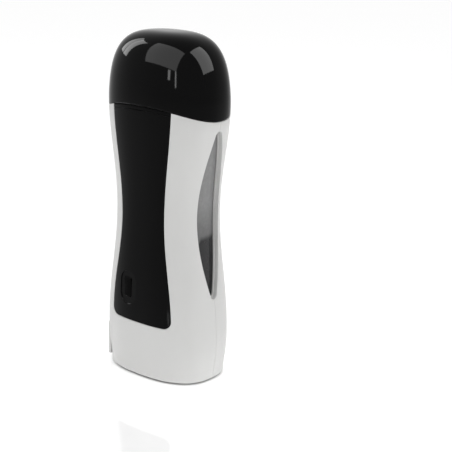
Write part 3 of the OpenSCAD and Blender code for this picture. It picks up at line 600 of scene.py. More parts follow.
def place(
    mesh: bpy.types.Mesh,
    name: str,
    nodes: Sequence[str],
    body: Body,
    material: bpy.types.Material,
    slot: str,
    crease: float = 38.0,
) -> bpy.types.Object:
    """Makes a finished piece of a mesh and gives it to the frame.

    Args:
        mesh: Mesh in metres, in the frame's place.
        name: Name of the piece.
        nodes: CAD nodes that the piece stands for, or none for a piece that only adds to them.
        body: Body that the piece rides on.
        material: Finish of the piece.
        slot: Not used.
        crease: Angle in degrees over which an edge stays sharp.

    Returns:
        The piece's object.
    """
    mesh.name = name
    mesh.materials.clear()
    mesh.materials.append(material)
    for polygon in mesh.polygons:
        polygon.material_index = 0
    mesh.shade_smooth()
    mesh.set_sharp_from_angle(angle=math.radians(crease))
    piece = bpy.data.objects.new(name, mesh)
    bpy.context.scene.collection.objects.link(piece)
    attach(piece, body.value)
    if nodes:
        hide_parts(*nodes)
    stands_for = ", ".join(nodes) or "no node of its own"
    LOG.info("%s: %d faces, for %s", name, len(mesh.polygons), stands_for)
    return piece


def dress(node: str, material: bpy.types.Material) -> None:
    """Gives a CAD node its finish.

    Args:
        node: Name of the CAD node.
        material: Finish of the node.
    """
    target = frame["nodes"][node]
    if not target.material_slots:
        target.data.materials.append(material)
    for material_slot in target.material_slots:
        material_slot.material = material
    LOG.info("%s: finish %s", node, material.name)


# ---- Finishes ----------------------------------------------------------------


class Graph:
    """Short hand for adding and joining shader nodes in one tree."""

    def __init__(self, tree: bpy.types.NodeTree) -> None:
        """Starts on a tree and empties it."""
        self.tree = tree
        tree.nodes.clear()

    def feed(self, socket: bpy.types.NodeSocket, value: object) -> None:
        """Joins a socket to another one, or gives it a value.

        Args:
            socket: Socket that takes the value.
            value: Another socket, or a plain value.
        """
        if isinstance(value, bpy.types.NodeSocket):
            self.tree.links.new(value, socket)
        else:
            socket.default_value = value

    def add(self, kind: str, **values: object) -> bpy.types.Node:
        """Adds a node.

        Args:
            kind: Type name of the node.
            **values: Properties of the node, or values and links for its sockets. Spaces in
                a socket's name are written as underscores, and i2 is the socket at 2.

        Returns:
            The node.
        """
        node = self.tree.nodes.new(kind)
        for key, value in values.items():
            if hasattr(node, key) and key not in ("color", "height"):
                setattr(node, key, value)
                continue
            counted = key[0] == "i" and key[1:].isdigit()
            socket = node.inputs[int(key[1:]) if counted else key.replace("_", " ")]
            self.feed(socket, value)
        return node

    def math(self, operation: str, *values: object) -> bpy.types.NodeSocket:
        """Adds a Math node and returns its value.

        Args:
            operation: Name of the operation.
            *values: Value or socket for each input.

        Returns:
            The node's result.
        """
        node = self.tree.nodes.new("ShaderNodeMath")
        node.operation = operation
        for socket, value in zip(node.inputs, values):
            self.feed(socket, value)
        return node.outputs[0]

    def mix(self, kind: str, factor: object, a: object, b: object) -> bpy.types.NodeSocket:
        """Adds a Mix node for colours.

        Args:
            kind: Blend type, such as MIX or MULTIPLY.
            factor: Value or socket.
            a: Colour or socket.
            b: Colour or socket.

        Returns:
            The mixed colour.
        """
        node = self.tree.nodes.new("ShaderNodeMix")
        node.data_type, node.blend_type = "RGBA", kind
        for index, value in ((0, factor), (6, a), (7, b)):
            plain = isinstance(value, tuple) and len(value) == 3
            self.feed(node.inputs[index], (*value, 1.0) if plain else value)
        return node.outputs[2]

    def surface(self, **values: object) -> None:
        """Adds a Principled shader with these sockets and joins it to the output."""
        shader = self.add("ShaderNodeBsdfPrincipled", **values)
        self.add("ShaderNodeOutputMaterial", Surface=shader.outputs[0])

    def shown(self) -> bpy.types.NodeSocket:
        """Mask of the rays that show something, straight on or in gloss or through glass.

        Returns:
            The mask.
        """
        path = self.add("ShaderNodeLightPath").outputs
        seen = self.math("MAXIMUM", path["Is Camera Ray"], path["Is Glossy Ray"])
        return self.math("MAXIMUM", seen, path["Is Transmission Ray"])


def new_material(name: str) -> tuple[bpy.types.Material, Graph]:
    """Starts a material and gives it with a graph on its empty tree.

    Args:
        name: Name of the material.

    Returns:
        The material and a graph on its empty tree.
    """
    material = bpy.data.materials.new(name)
    material.use_nodes = True
    return material, Graph(material.node_tree)


def new_group(
    name: str, inputs: dict[str, float | Colour], outputs: dict[str, str]
) -> tuple[bpy.types.NodeTree, Graph]:
    """Starts a shader node group with named sockets.

    Args:
        name: Name of the group.
        inputs: Default value of each input. A tuple makes a colour socket.
        outputs: Socket type of each output, such as NodeSocketFloat.

    Returns:
        The group and a graph on it.
    """
    tree = bpy.data.node_groups.new(name, "ShaderNodeTree")
    for label, value in inputs.items():
        colour = isinstance(value, tuple)
        kind = "NodeSocketColor" if colour else "NodeSocketFloat"
        socket = tree.interface.new_socket(name=label, in_out="INPUT", socket_type=kind)
        socket.default_value = (*value, 1.0) if colour else value
    for label, kind in outputs.items():
        tree.interface.new_socket(name=label, in_out="OUTPUT", socket_type=kind)
    return tree, Graph(tree)


def moulded_group() -> bpy.types.NodeTree:
    """Builds the moulded skin: slow shifts of tone and gloss with a fine moulded grain.

    Returns:
        The node group, with a colour, a roughness and a height.
    """
    tree, graph = new_group(
        "moulded_skin",
        {
            "Colour": (0.5, 0.5, 0.5),
            "Shift": 0.06,
            "Roughness": 0.4,
            "Spread": 0.06,
            "Cloud": 45.0,
            "Grain": 1500.0,
        },
        {
            "Colour": "NodeSocketColor",
            "Roughness": "NodeSocketFloat",
            "Height": "NodeSocketFloat",
        },
    )
    given = graph.add("NodeGroupInput").outputs
    spot = graph.add("ShaderNodeTexCoord").outputs["Object"]
    cloud = graph.add(
        "ShaderNodeTexNoise", Vector=spot, Scale=given["Cloud"], Detail=3.0, Roughness=0.55
    )
    grain = graph.add(
        "ShaderNodeTexNoise", Vector=spot, Scale=given["Grain"], Detail=2.0, Roughness=0.6
    )
    centred = graph.math("SUBTRACT", cloud.outputs["Fac"], 0.5)
    shade = graph.math("MULTIPLY_ADD", centred, given["Shift"], 1.0)
    grey = graph.add("ShaderNodeCombineColor", i0=shade, i1=shade, i2=shade).outputs[0]
    colour = graph.mix("MULTIPLY", 1.0, given["Colour"], grey)
    rough = graph.math("MULTIPLY_ADD", centred, given["Spread"], given["Roughness"])
    result = graph.add("NodeGroupOutput")
    tree.links.new(colour, result.inputs["Colour"])
    tree.links.new(rough, result.inputs["Roughness"])
    tree.links.new(grain.outputs["Fac"], result.inputs["Height"])
    return tree


def rubbed_group() -> bpy.types.NodeTree:
    """Builds handling marks: short hair-fine lines that show only as a change of gloss.

    Returns:
        The node group, with one mask.
    """
    tree, graph = new_group(
        "handling_marks", {"Fineness": 260.0, "Amount": 0.5}, {"Mask": "NodeSocketFloat"}
    )
    given = graph.add("NodeGroupInput").outputs
    spot = graph.add("ShaderNodeTexCoord").outputs["Object"]
    masks = []
    for turn, stretch in ((0.5, (1.0, 1.0, 0.06)), (-0.9, (0.08, 1.0, 1.0))):
        laid = graph.add(
            "ShaderNodeMapping", Vector=spot, Rotation=(0.0, turn, turn / 2), Scale=stretch
        )
        lines = graph.add(
            "ShaderNodeTexNoise", Vector=laid.outputs[0], Scale=given["Fineness"], Detail=2.0
        )
        mask = graph.add("ShaderNodeMapRange", Value=lines.outputs["Fac"], i1=0.62, i2=0.7)
        masks.append(mask.outputs[0])
    both = graph.math("MAXIMUM", *masks)
    result = graph.add("NodeGroupOutput")
    tree.links.new(graph.math("MULTIPLY", both, given["Amount"]), result.inputs["Mask"])
    return tree


class SharedGroups:
    """Node groups that the finishes share, each built once."""

    def __init__(self) -> None:
        """Builds the groups."""
        self.skin = moulded_group()
        self.marks = rubbed_group()


@dataclass(frozen=True)
class Moulded:
    """Finish of a moulded plastic piece."""

    name: str
    colour: Colour
    roughness: float
    shift: float = 0.06
    spread: float = 0.06
    cloud: float = 45.0
    grain: float = 1500.0
    relief: float = 0.01
    marks: float = 0.0
    specular: float = 0.5

    def build(self, groups: SharedGroups) -> bpy.types.Material:
        """Makes the material.

        Args:
            groups: Shared node groups.

        Returns:
            The material.
        """
        material, graph = new_material(self.name)
        skin = graph.add(
            "ShaderNodeGroup",
            node_tree=groups.skin,
            Colour=(*self.colour, 1.0),
            Shift=self.shift,
            Roughness=self.roughness,
            Spread=self.spread,
            Cloud=self.cloud,
            Grain=self.grain,
        )
        marks = graph.add("ShaderNodeGroup", node_tree=groups.marks, Amount=self.marks)
        rough = graph.math("ADD", skin.outputs["Roughness"], marks.outputs["Mask"])
        bump = graph.add(
            "ShaderNodeBump",
            Height=skin.outputs["Height"],
            Distance=self.relief * MM,
            Strength=1.0,
        )
        graph.surface(
            Base_Color=skin.outputs["Colour"],
            Roughness=rough,
            Normal=bump.outputs[0],
            Specular_IOR_Level=self.specular,
        )
        return material


@dataclass(frozen=True)
class SmokedPanePaintedShade:
    """Sight panes: smoked plastic, with painted light above and painted shade below a level that
    slants in front.
    """

    name: str = "smoked_pane_painted_shade"
    # Painted light: the smoked grey with the lit inside painted into it, brightest up high.
    light: Colour = (0.25, 0.25, 0.25)
    # Painted shade: the colour below the level, for the shaded inside behind the pane.
    painted_shade: Colour = (0.022, 0.022, 0.023)
    # Height and softness of the painted shade's upper edge, which lies lower towards the front.
    level: float = 85.2
    softness: float = 2.0
    slant_from: float = -3.5
    slant: float = 1.6
    # The painted light fades darker downwards over this height, to this share of itself at the
    # level.
    painted_fade_over: float = 20.0
    painted_fade_least: float = 0.56
    mottle: float = 420.0
    roughness: float = 0.16
    relief: float = 0.004
    clear: float = 0.15
    index: float = 1.49
    specular: float = 0.2

    def build(self, groups: SharedGroups) -> bpy.types.Material:
        """Makes the material.

        Args:
            groups: Shared node groups.

        Returns:
            The material.
        """
        material, graph = new_material(self.name)
        spot = graph.add("ShaderNodeTexCoord").outputs["Object"]
        axes = graph.add("ShaderNodeSeparateXYZ", Vector=spot).outputs
        height = axes["Z"]
        # The painted shade's edge lies lower towards the front of the pane.
        past = graph.math("SUBTRACT", self.slant_from * MM, axes["Y"])
        ahead = graph.math("MAXIMUM", past, 0.0)
        edge = graph.math("MULTIPLY_ADD", ahead, self.slant, height)
        mottle = graph.add(
            "ShaderNodeTexNoise", Vector=spot, Scale=self.mottle, Detail=4.0, Roughness=0.7
        )
        step = graph.add(
            "ShaderNodeMapRange",
            interpolation_type="SMOOTHSTEP",
            Value=edge,
            i1=(self.level - self.softness) * MM,
            i2=(self.level + self.softness) * MM,
        )
        # Painted light: the grey grows darker downwards towards the painted shade.
        fade = graph.add(
            "ShaderNodeMapRange",
            Value=height,
            i1=self.level * MM,
            i2=(self.level + self.painted_fade_over) * MM,
            i3=self.painted_fade_least,
            i4=1.0,
        )
        upper = graph.mix("MULTIPLY", 1.0, self.light, fade.outputs[0])
        # Painted light above the level, painted shade below it.
        tone = graph.mix("MIX", step.outputs[0], self.painted_shade, upper)
        specks = graph.add(
            "ShaderNodeMapRange", Value=mottle.outputs["Fac"], i1=0.3, i2=0.7, i3=0.9, i4=1.08
        )
        colour = graph.mix("MULTIPLY", 1.0, tone, specks.outputs[0])
        skin = graph.add(
            "ShaderNodeGroup",
            node_tree=groups.skin,
            Colour=colour,
            Shift=0.05,
            Roughness=self.roughness,
            Spread=0.05,
        )
        bump = graph.add(
            "ShaderNodeBump", Height=skin.outputs["Height"], Distance=self.relief * MM
        )
        graph.surface(
            Base_Color=skin.outputs["Colour"],
            Roughness=skin.outputs["Roughness"],
            Normal=bump.outputs[0],
            Transmission_Weight=self.clear,
            IOR=self.index,
            Specular_IOR_Level=self.specular,
        )
        return material


@dataclass(frozen=True)
class Metal:
    """Finish of a metal piece with fine drawn lines."""

    name: str
    colour: Colour
    roughness: float
    stretch: Triple = (1.0, 1.0, 0.03)
    fineness: float = 900.0
    relief: float = 0.01
    uneven: float = 0.12
    marks: float = 0.12

    def build(self, groups: SharedGroups) -> bpy.types.Material:
        """Makes the material.

        Args:
            groups: Shared node groups.

        Returns:
            The material.
        """
        material, graph = new_material(self.name)
        spot = graph.add("ShaderNodeTexCoord").outputs["Object"]
        laid = graph.add("ShaderNodeMapping", Vector=spot, Scale=self.stretch)
        lines = graph.add(
            "ShaderNodeTexNoise", Vector=laid.outputs[0], Scale=self.fineness, Detail=3.0
        )
        skin = graph.add(
            "ShaderNodeGroup",
            node_tree=groups.skin,
            Colour=(*self.colour, 1.0),
            Shift=self.uneven,
            Roughness=self.roughness,
            Spread=self.uneven,
        )
        marks = graph.add("ShaderNodeGroup", node_tree=groups.marks, Amount=self.marks)
        rough = graph.math("ADD", skin.outputs["Roughness"], marks.outputs["Mask"])
        bump = graph.add("ShaderNodeBump", Height=lines.outputs["Fac"], Distance=self.relief * MM)
        graph.surface(
            Base_Color=skin.outputs["Colour"],
            Roughness=rough,
            Metallic=1.0,
            Normal=bump.outputs[0],
        )
        return material


@dataclass(frozen=True)
class Laminate:
    """Finish of the circuit board: solder mask over copper tracks."""

    name: str = "board_mask"
    mask: Colour = (0.012, 0.09, 0.035)
    track: Colour = (0.03, 0.16, 0.06)
    fineness: float = 120.0
    relief: float = 0.03

    def build(self, groups: SharedGroups) -> bpy.types.Material:
        """Makes the material.

        Args:
            groups: Shared node groups.

        Returns:
            The material.
        """
        material, graph = new_material(self.name)
        spot = graph.add("ShaderNodeTexCoord").outputs["Object"]
        turned = graph.add("ShaderNodeMapping", Vector=spot, Rotation=(math.pi / 2, 0.0, 0.0))
        tracks = graph.add(
            "ShaderNodeTexBrick",
            Vector=turned.outputs[0],
            Color1=(*self.mask, 1.0),
            Color2=(*self.mask, 1.0),
            Mortar=(*self.track, 1.0),
            Scale=self.fineness,
            Mortar_Size=0.05,
            Brick_Width=0.9,
            Row_Height=0.35,
        )
        skin = graph.add(
            "ShaderNodeGroup",
            node_tree=groups.skin,
            Colour=tracks.outputs["Color"],
            Roughness=0.3,
            Spread=0.08,
        )
        bump = graph.add(
            "ShaderNodeBump", Height=tracks.outputs["Fac"], Distance=self.relief * MM
        )
        graph.surface(
            Base_Color=skin.outputs["Colour"],
            Roughness=skin.outputs["Roughness"],
            Normal=bump.outputs[0],
        )
        return material


class Finishes:
    """All finishes of the heater, each built once."""

    def __init__(self) -> None:
        """Builds the shared groups and the materials."""
        groups = SharedGroups()
        self.shell = Moulded(
            "satin_shell",
            (0.600, 0.600, 0.592),
            0.36,
            shift=0.03,
            spread=0.05,
            relief=0.006,
            specular=0.2,
        ).build(groups)
        self.gloss = Moulded(
            "gloss_black",
            (0.0012, 0.0012, 0.0013),
            0.05,
            spread=0.02,
            relief=0.0,
            marks=0.02,
            specular=0.06,
        ).build(groups)
        self.matt = Moulded(
            "matt_black", (0.014, 0.014, 0.0145), 0.6, relief=0.03, specular=0.25
        ).build(groups)
        self.button = Moulded(
            "button_black", (0.0012, 0.0012, 0.0012), 0.4, relief=0.02, specular=0.02
        ).build(groups)
        # The panes' finish carries painted light and shade of the inside.
        self.pane = SmokedPanePaintedShade().build(groups)
        self.contact = Metal(
            "nickel_contact", (0.72, 0.70, 0.66), 0.18, stretch=(0.05, 1.0, 1.0)
        ).build(groups)
        self.chamber = Metal("drawn_aluminium", (0.78, 0.79, 0.80), 0.32).build(groups)
        self.steel = Metal(
            "bright_steel", (0.56, 0.56, 0.58), 0.26, stretch=(1.0, 0.1, 1.0)
        ).build(groups)
        self.heater = Moulded(
            "heater_film", (0.30, 0.16, 0.05), 0.3, shift=0.2, grain=600.0
        ).build(groups)
        self.bakelite = Moulded(
            "thermostat_case", (0.03, 0.018, 0.012), 0.35, shift=0.3
        ).build(groups)
        self.fuse = Moulded("fuse_ceramic", (0.62, 0.60, 0.54), 0.45, shift=0.1).build(groups)
        self.board = Laminate().build(groups)
        self.relay = Moulded("relay_case", (0.015, 0.06, 0.18), 0.28).build(groups)
        self.sleeve = Moulded("capacitor_sleeve", (0.01, 0.012, 0.04), 0.25).build(groups)
        self.brown = Moulded("brown_insulation", (0.12, 0.035, 0.012), 0.4).build(groups)
        self.red = Moulded("red_insulation", (0.38, 0.02, 0.012), 0.4).build(groups)
        self.white = Moulded("white_insulation", (0.6, 0.6, 0.58), 0.4).build(groups)


# ---- Sub-assemblies ----------------------------------------------------------


@dataclass
class Housing:
    """The two moulded shells and the base plate."""

    wall: float = SHELL_WALL
    backing: float = 1.2
    recess: float = 1.7
    draft: float = 0.15
    ledge: float = 0.08
    parting: float = 0.06
    lip: float = 0.7
    lip_share: float = 0.12
    lip_past: float = 4.0
    lip_fade: float = 2.0
    notch_ahead: float = 5.0
    foot: float = 0.8
    foot_r: float = 1.2
    edge_round: float = 0.15
    side_columns: int = 28
    panel_columns: int = 44
    back_columns: int = 36
    spacing: float = 2.0

    def gap(self, z: float) -> float:
        """Half opening left at the side of a section."""
        return max(LEAF.half_width(z), self.parting / 2)

    def foot_inset(self, z: float) -> float:
        """Inset of the round along the shells' lower edge."""
        return arc_inset((z - self.foot) / self.foot_r, self.foot_r)

    def lip_inset(self, share: float, z: float) -> float:
        """How much deeper the inner surface lies next to a window.

        Args:
            share: Share of the way from the window.
            z: Height.

        Returns:
            The extra inset.
        """
        near = unit((2 * self.lip_share - share) / self.lip_share)
        inside = min(z - LEAF.low + self.lip_past, LEAF.high + self.lip_past - z)
        return self.lip * near * unit(inside / self.lip_fade)

    def side_point(self, share: float, z: float, inset: float, grow: float, side: Side) -> Vector:
        """Point of the front's side zone.

        Args:
            share: Share of the way from the window to the panel.
            z: Height of the section before the joint's wave.
            inset: Inset from the outline.
            grow: Growth of the panel's recess.
            side: Side of the housing.

        Returns:
            The point.
        """

        def angle(level: float) -> float:
            """Parameter angle of the point at a level.

            Args:
                level: Height.

            Returns:
                The angle in radians.
            """
            start = OUTLINE.angle_at_y(self.gap(level), level, inset)
            end = OUTLINE.angle_at_x(PANEL.half(OUTLINE, level, 0) + grow, level, inset)
            return start + (end - start) * share

        raised = OUTLINE.wave(z, OUTLINE.plan(angle(z), z, inset).y)
        point = OUTLINE.plan(angle(raised), raised, inset)
        return Vector((side.value * point.x, -point.y, raised))

    def panel_point(self, share: float, z: float, inset: float, grow: float) -> Vector:
        """Point of the floor of the panel's recess, at a share of its half width.

        Args:
            share: Share of the recess's half width, from -1 to 1.
            z: Height of the section before the joint's wave.
            inset: Inset from the outline.
            grow: Growth of the recess.

        Returns:
            The point.
        """
        raised = OUTLINE.wave(
            z, OUTLINE.front_y(share * (PANEL.half(OUTLINE, z, 0) + grow), z, inset)
        )
        x = share * (PANEL.half(OUTLINE, raised, 0) + grow)
        return Vector((x, OUTLINE.front_y(x, raised, inset), raised))

    def front_row(
        self, z: float, side_inset: float, panel_inset: float, grow: float, lipped: bool = False
    ) -> list[Vector]:
        """Row of the front shell from the left window to the right one.

        Args:
            z: Height of the section before the joint's wave.
            side_inset: Inset from the outline beside the panel's recess.
            panel_inset: Inset from the outline inside the recess.
            grow: Growth of the recess.
            lipped: Whether the row lies deeper next to the windows.

        Returns:
            The row's points.
        """
        sides = shares(self.side_columns)
        insets = [side_inset + (self.lip_inset(s, z) if lipped else 0.0) for s in sides]
        left = [self.side_point(s, z, d, grow, Side.LEFT) for s, d in zip(sides, insets)]
        right = [self.side_point(s, z, d, grow, Side.RIGHT) for s, d in zip(sides, insets)]
        return [
            *left,
            *(
                self.panel_point(share, z, panel_inset, grow - self.draft)
                for share in spread(self.panel_columns)
            ),
            *reversed(right),
        ]

    def back_point(self, share: float, z: float, inset: float, side: Side) -> Vector:
        """Point of the back shell at a share of the way from a window to the middle.

        Args:
            share: Share of the way.
            z: Height of the section before the joint's wave.
            inset: Inset from the outline.
            side: Side of the housing.

        Returns:
            The point.
        """

        def angle(level: float) -> float:
            """Parameter angle of the point at a level."""
            start = OUTLINE.angle_at_y(self.gap(level), level, inset)
            return start + (math.pi / 2 - start) * share

        raised = OUTLINE.wave(z, OUTLINE.plan(angle(z), z, inset).y)
        point = OUTLINE.plan(angle(raised), raised, inset)
        return Vector((side.value * point.x, point.y, raised))

    def back_row(self, z: float, inset: float, lipped: bool = False) -> list[Vector]:
        """Row of the back shell from the right window to the left one.

        Args:
            z: Height of the section before the joint's wave.
            inset: Inset from the outline.
            lipped: Whether the row lies deeper next to the windows.

        Returns:
            The row's points.
        """
        across = shares(self.back_columns)
        insets = [inset + (self.lip_inset(s, z) if lipped else 0.0) for s in across]
        right = [self.back_point(s, z, d, Side.RIGHT) for s, d in zip(across, insets)]
        left = [self.back_point(s, z, d, Side.LEFT) for s, d in zip(across, insets)]
        return [*right, *reversed(left[:-1])]

    def foot_levels(self) -> list[float]:
        """Heights of the rows on the lower round."""
        return [self.foot + rise for rise in round_rises(self.foot_r, 6)]

    def inner_level(self, z: float) -> float:
        """Height of the inner surface's row, evenly spaced beside the lower round."""
        rise = (z - self.foot) / self.foot_r
        return z if rise >= 1 else self.foot + self.foot_r * math.acos(1 - rise) / (math.pi / 2)

    def notch(self, inlet: "MainsInlet") -> bmesh.types.BMesh:
        """Cutter that lets the inlet's pad through the shells.

        Args:
            inlet: Inlet whose pad is let through.

        Returns:
            The cutter, as a bmesh.
        """
        reach, gap = inlet.half + inlet.gap, inlet.gap
        return block(
            (-inlet.face_x - self.notch_ahead, -reach, inlet.low - gap),
            (-inlet.rear_x, reach, inlet.high + gap),
        )

    def front_mesh(self, button: "PowerButton", inlet: "MainsInlet") -> bpy.types.Mesh:
        """Builds the front shell.

        Args:
            button: Button whose slot the shell leaves open.
            inlet: Inlet whose pad the shell leaves open.

        Returns:
            The mesh.
        """
        corner = [PANEL.low + self.ledge + rise for rise in round_rises(PANEL.corner, 9)]
        levels = ordered(
            [
                *self.foot_levels(),
                *steps(self.foot + self.foot_r, PANEL.low, self.spacing),
                PANEL.low,
                PANEL.low + self.ledge,
                *corner,
                *steps(corner[-1], LEAF.low, self.spacing),
                *LEAF.levels(self.spacing),
                OUTLINE.shell_high,
            ]
        )

        def outer(z: float) -> list[Vector]:
            """Row of the outer surface at a level.

            Args:
                z: Height.

            Returns:
                The row's points.
            """
            inset = self.foot_inset(z)
            floor = self.recess if z > PANEL.low + CLOSE else 0.0
            return self.front_row(z, inset, max(inset, floor), 0.0)

        def inner(z: float) -> list[Vector]:
            """Row of the inner surface at a level."""
            floor = self.recess + self.backing if z > PANEL.low else self.wall
            return self.front_row(self.inner_level(z), self.wall, floor, self.backing, lipped=True)

        bm = thick_sheet([outer(z) for z in levels], [inner(z) for z in levels])
        soften(bm, self.edge_round)
        mesh = to_mesh(bm, "front_shell")
        mesh = cut(mesh, self.notch(inlet))
        return cut(mesh, button.slot())

    def back_mesh(self, inlet: "MainsInlet") -> bpy.types.Mesh:
        """Builds the back shell, open for the inlet's pad.

        Args:
            inlet: Inlet whose pad the shell leaves open.

        Returns:
            The mesh.
        """
        levels = ordered(
            [
                *self.foot_levels(),
                *steps(self.foot + self.foot_r, LEAF.low, self.spacing),
                *LEAF.levels(self.spacing),
                OUTLINE.shell_high,
            ]
        )
        bm = thick_sheet(
            [self.back_row(z, self.foot_inset(z)) for z in levels],
            [self.back_row(self.inner_level(z), self.wall, lipped=True) for z in levels],
        )
        soften(bm, self.edge_round)
        return cut(to_mesh(bm, "back_shell"), self.notch(inlet))

    def build(self, finishes: Finishes, button: "PowerButton", inlet: "MainsInlet") -> None:
        """Places the shells and dresses the base plate.

        Args:
            finishes: Materials.
            button: Button whose slot the front shell leaves open.
            inlet: Inlet whose pad both shells leave open.
        """
        front = self.front_mesh(button, inlet)
        place(front, "front_shell_skin", ["front_shell"], Body.HOUSING, finishes.shell, "shell")
        back = self.back_mesh(inlet)
        place(back, "back_shell_skin", ["back_shell"], Body.HOUSING, finishes.shell, "shell")
        dress("base_plate", finishes.matt)
        dress("base_screws", finishes.steel)


@dataclass
class Cap:
    """The domed lift-off cap."""

    wall: float = CAP_WALL
    columns: int = 144
    skirt_rows: int = 16
    dome_rows: int = 34
    split: float = 0.97
    wave_share: float = 0.72
    edge_round: float = 0.35

    @property
    def low(self) -> float:
        """Height of the cap's rim at the sides."""
        return OUTLINE.joint_z + OUTLINE.joint_gap / 2

    def row(self, z: float, inset: float) -> list[Vector]:
        """Closed row at height z, raised towards the joint's wave near the rim.

        Args:
            z: Height of the row before it is raised.
            inset: Inset from the outline.

        Returns:
            The row's points, with the first one again at the end.
        """
        reach = OUTLINE.crown_level(self.wave_share, inset) - self.low
        fade = unit(1 - (z - self.low) / reach)
        points = []
        for i in range(self.columns + 1):
            angle = FULL_TURN * (i % self.columns) / self.columns
            rise = OUTLINE.joint(OUTLINE.plan(angle, z, inset).y) - OUTLINE.joint_z
            points.append(OUTLINE.plan(angle, z + rise * fade, inset))
        return points

    def rows(self, inset: float) -> Rows:
        """Rows from the rim to the tip.

        Args:
            inset: Inset from the outline.

        Returns:
            The rows, each closed on itself.
        """
        reach = OUTLINE.crown_level(self.split, inset) - self.low
        levels = [self.low + reach * i / self.skirt_rows for i in range(self.skirt_rows)]
        for i in range(self.dome_rows):
            share = self.split * math.cos(math.pi / 2 * i / self.dome_rows)
            levels.append(OUTLINE.crown_level(share, inset))
        tip = Vector((0.0, 0.0, OUTLINE.height - inset))
        ends = [tip.copy() for _ in range(self.columns + 1)]
        return [*(self.row(z, inset) for z in levels), ends]

    def build(self, finishes: Finishes) -> None:
        """Places the cap.

        Args:
            finishes: Materials.
        """
        bm = thick_sheet(self.rows(0.0), self.rows(self.wall))
        soften(bm, self.edge_round, segments=3)
        place(to_mesh(bm, "cap"), "cap_dome", ["cap"], Body.CAP, finishes.gloss, "gloss_black")


@dataclass
class PowerButton:
    """The push button with the flange that keeps it in."""

    x: float = -9.0
    z: float = 53.4
    width: float = 5.6
    height: float = 11.2
    radius: float = 0.8
    gap: float = 0.25
    flange: float = 1.0
    flange_deep: float = 1.0
    flange_gap: float = 0.35
    stem_w: float = 3.0
    stem_r: float = 1.499
    overlap: float = 0.5
    slot_ahead: float = 2.0
    slot_rear: float = -17.0
    edge_round: float = 0.3
    flange_round: float = 0.15
    stem_round: float = 0.1

    def stand(self, bm: bmesh.types.BMesh) -> None:
        """Moves a bmesh from the frame's origin to the button's place on the panel."""
        bmesh.ops.translate(bm, vec=Vector((self.x, 0, self.z)) * MM, verts=bm.verts)

    def slot(self) -> bmesh.types.BMesh:
        """Cutter for the slot that the button stands in.

        Returns:
            The cutter, as a bmesh.
        """
        bm = pill(
            self.width + 2 * self.gap,
            self.height + 2 * self.gap,
            self.radius + self.gap,
            [(-OUTLINE.half_depth(self.z) - self.slot_ahead, 0.0), (self.slot_rear, 0.0)],
        )
        self.stand(bm)
        return bm

    def build(self, finishes: Finishes) -> None:
        """Places the button, its flange and its stem.

        Args:
            finishes: Materials.
        """
        low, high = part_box("power_button")
        front, rear = low.y / MM, high.y / MM
        corner_x = abs(self.x) + self.width / 2 + self.flange
        corner_z = self.z + self.height / 2 + self.flange
        flange_y = OUTLINE.front_y(corner_x, corner_z, PANEL_FLOOR) + self.flange_gap
        inside = flange_y + self.overlap
        solids = (
            (self.width, self.height, self.radius, front, inside, self.edge_round),
            (
                self.width + 2 * self.flange,
                self.height + 2 * self.flange,
                self.radius + self.flange,
                flange_y,
                flange_y + self.flange_deep,
                self.flange_round,
            ),
            (self.stem_w, self.stem_w, self.stem_r, inside, rear, self.stem_round),
        )
        whole = bmesh.new()
        for width, height, radius, start, end, edge in solids:
            bm = pill(width, height, radius, [(start, 0.0), (end, 0.0)])
            soften(bm, edge, segments=3)
            self.stand(bm)
            mesh = to_mesh(bm, "button_part")
            whole.from_mesh(mesh)
            bpy.data.meshes.remove(mesh)
        mesh = to_mesh(whole, "power_button")
        place(mesh, "button_key", ["power_button"], Body.BUTTON, finishes.button, "button")


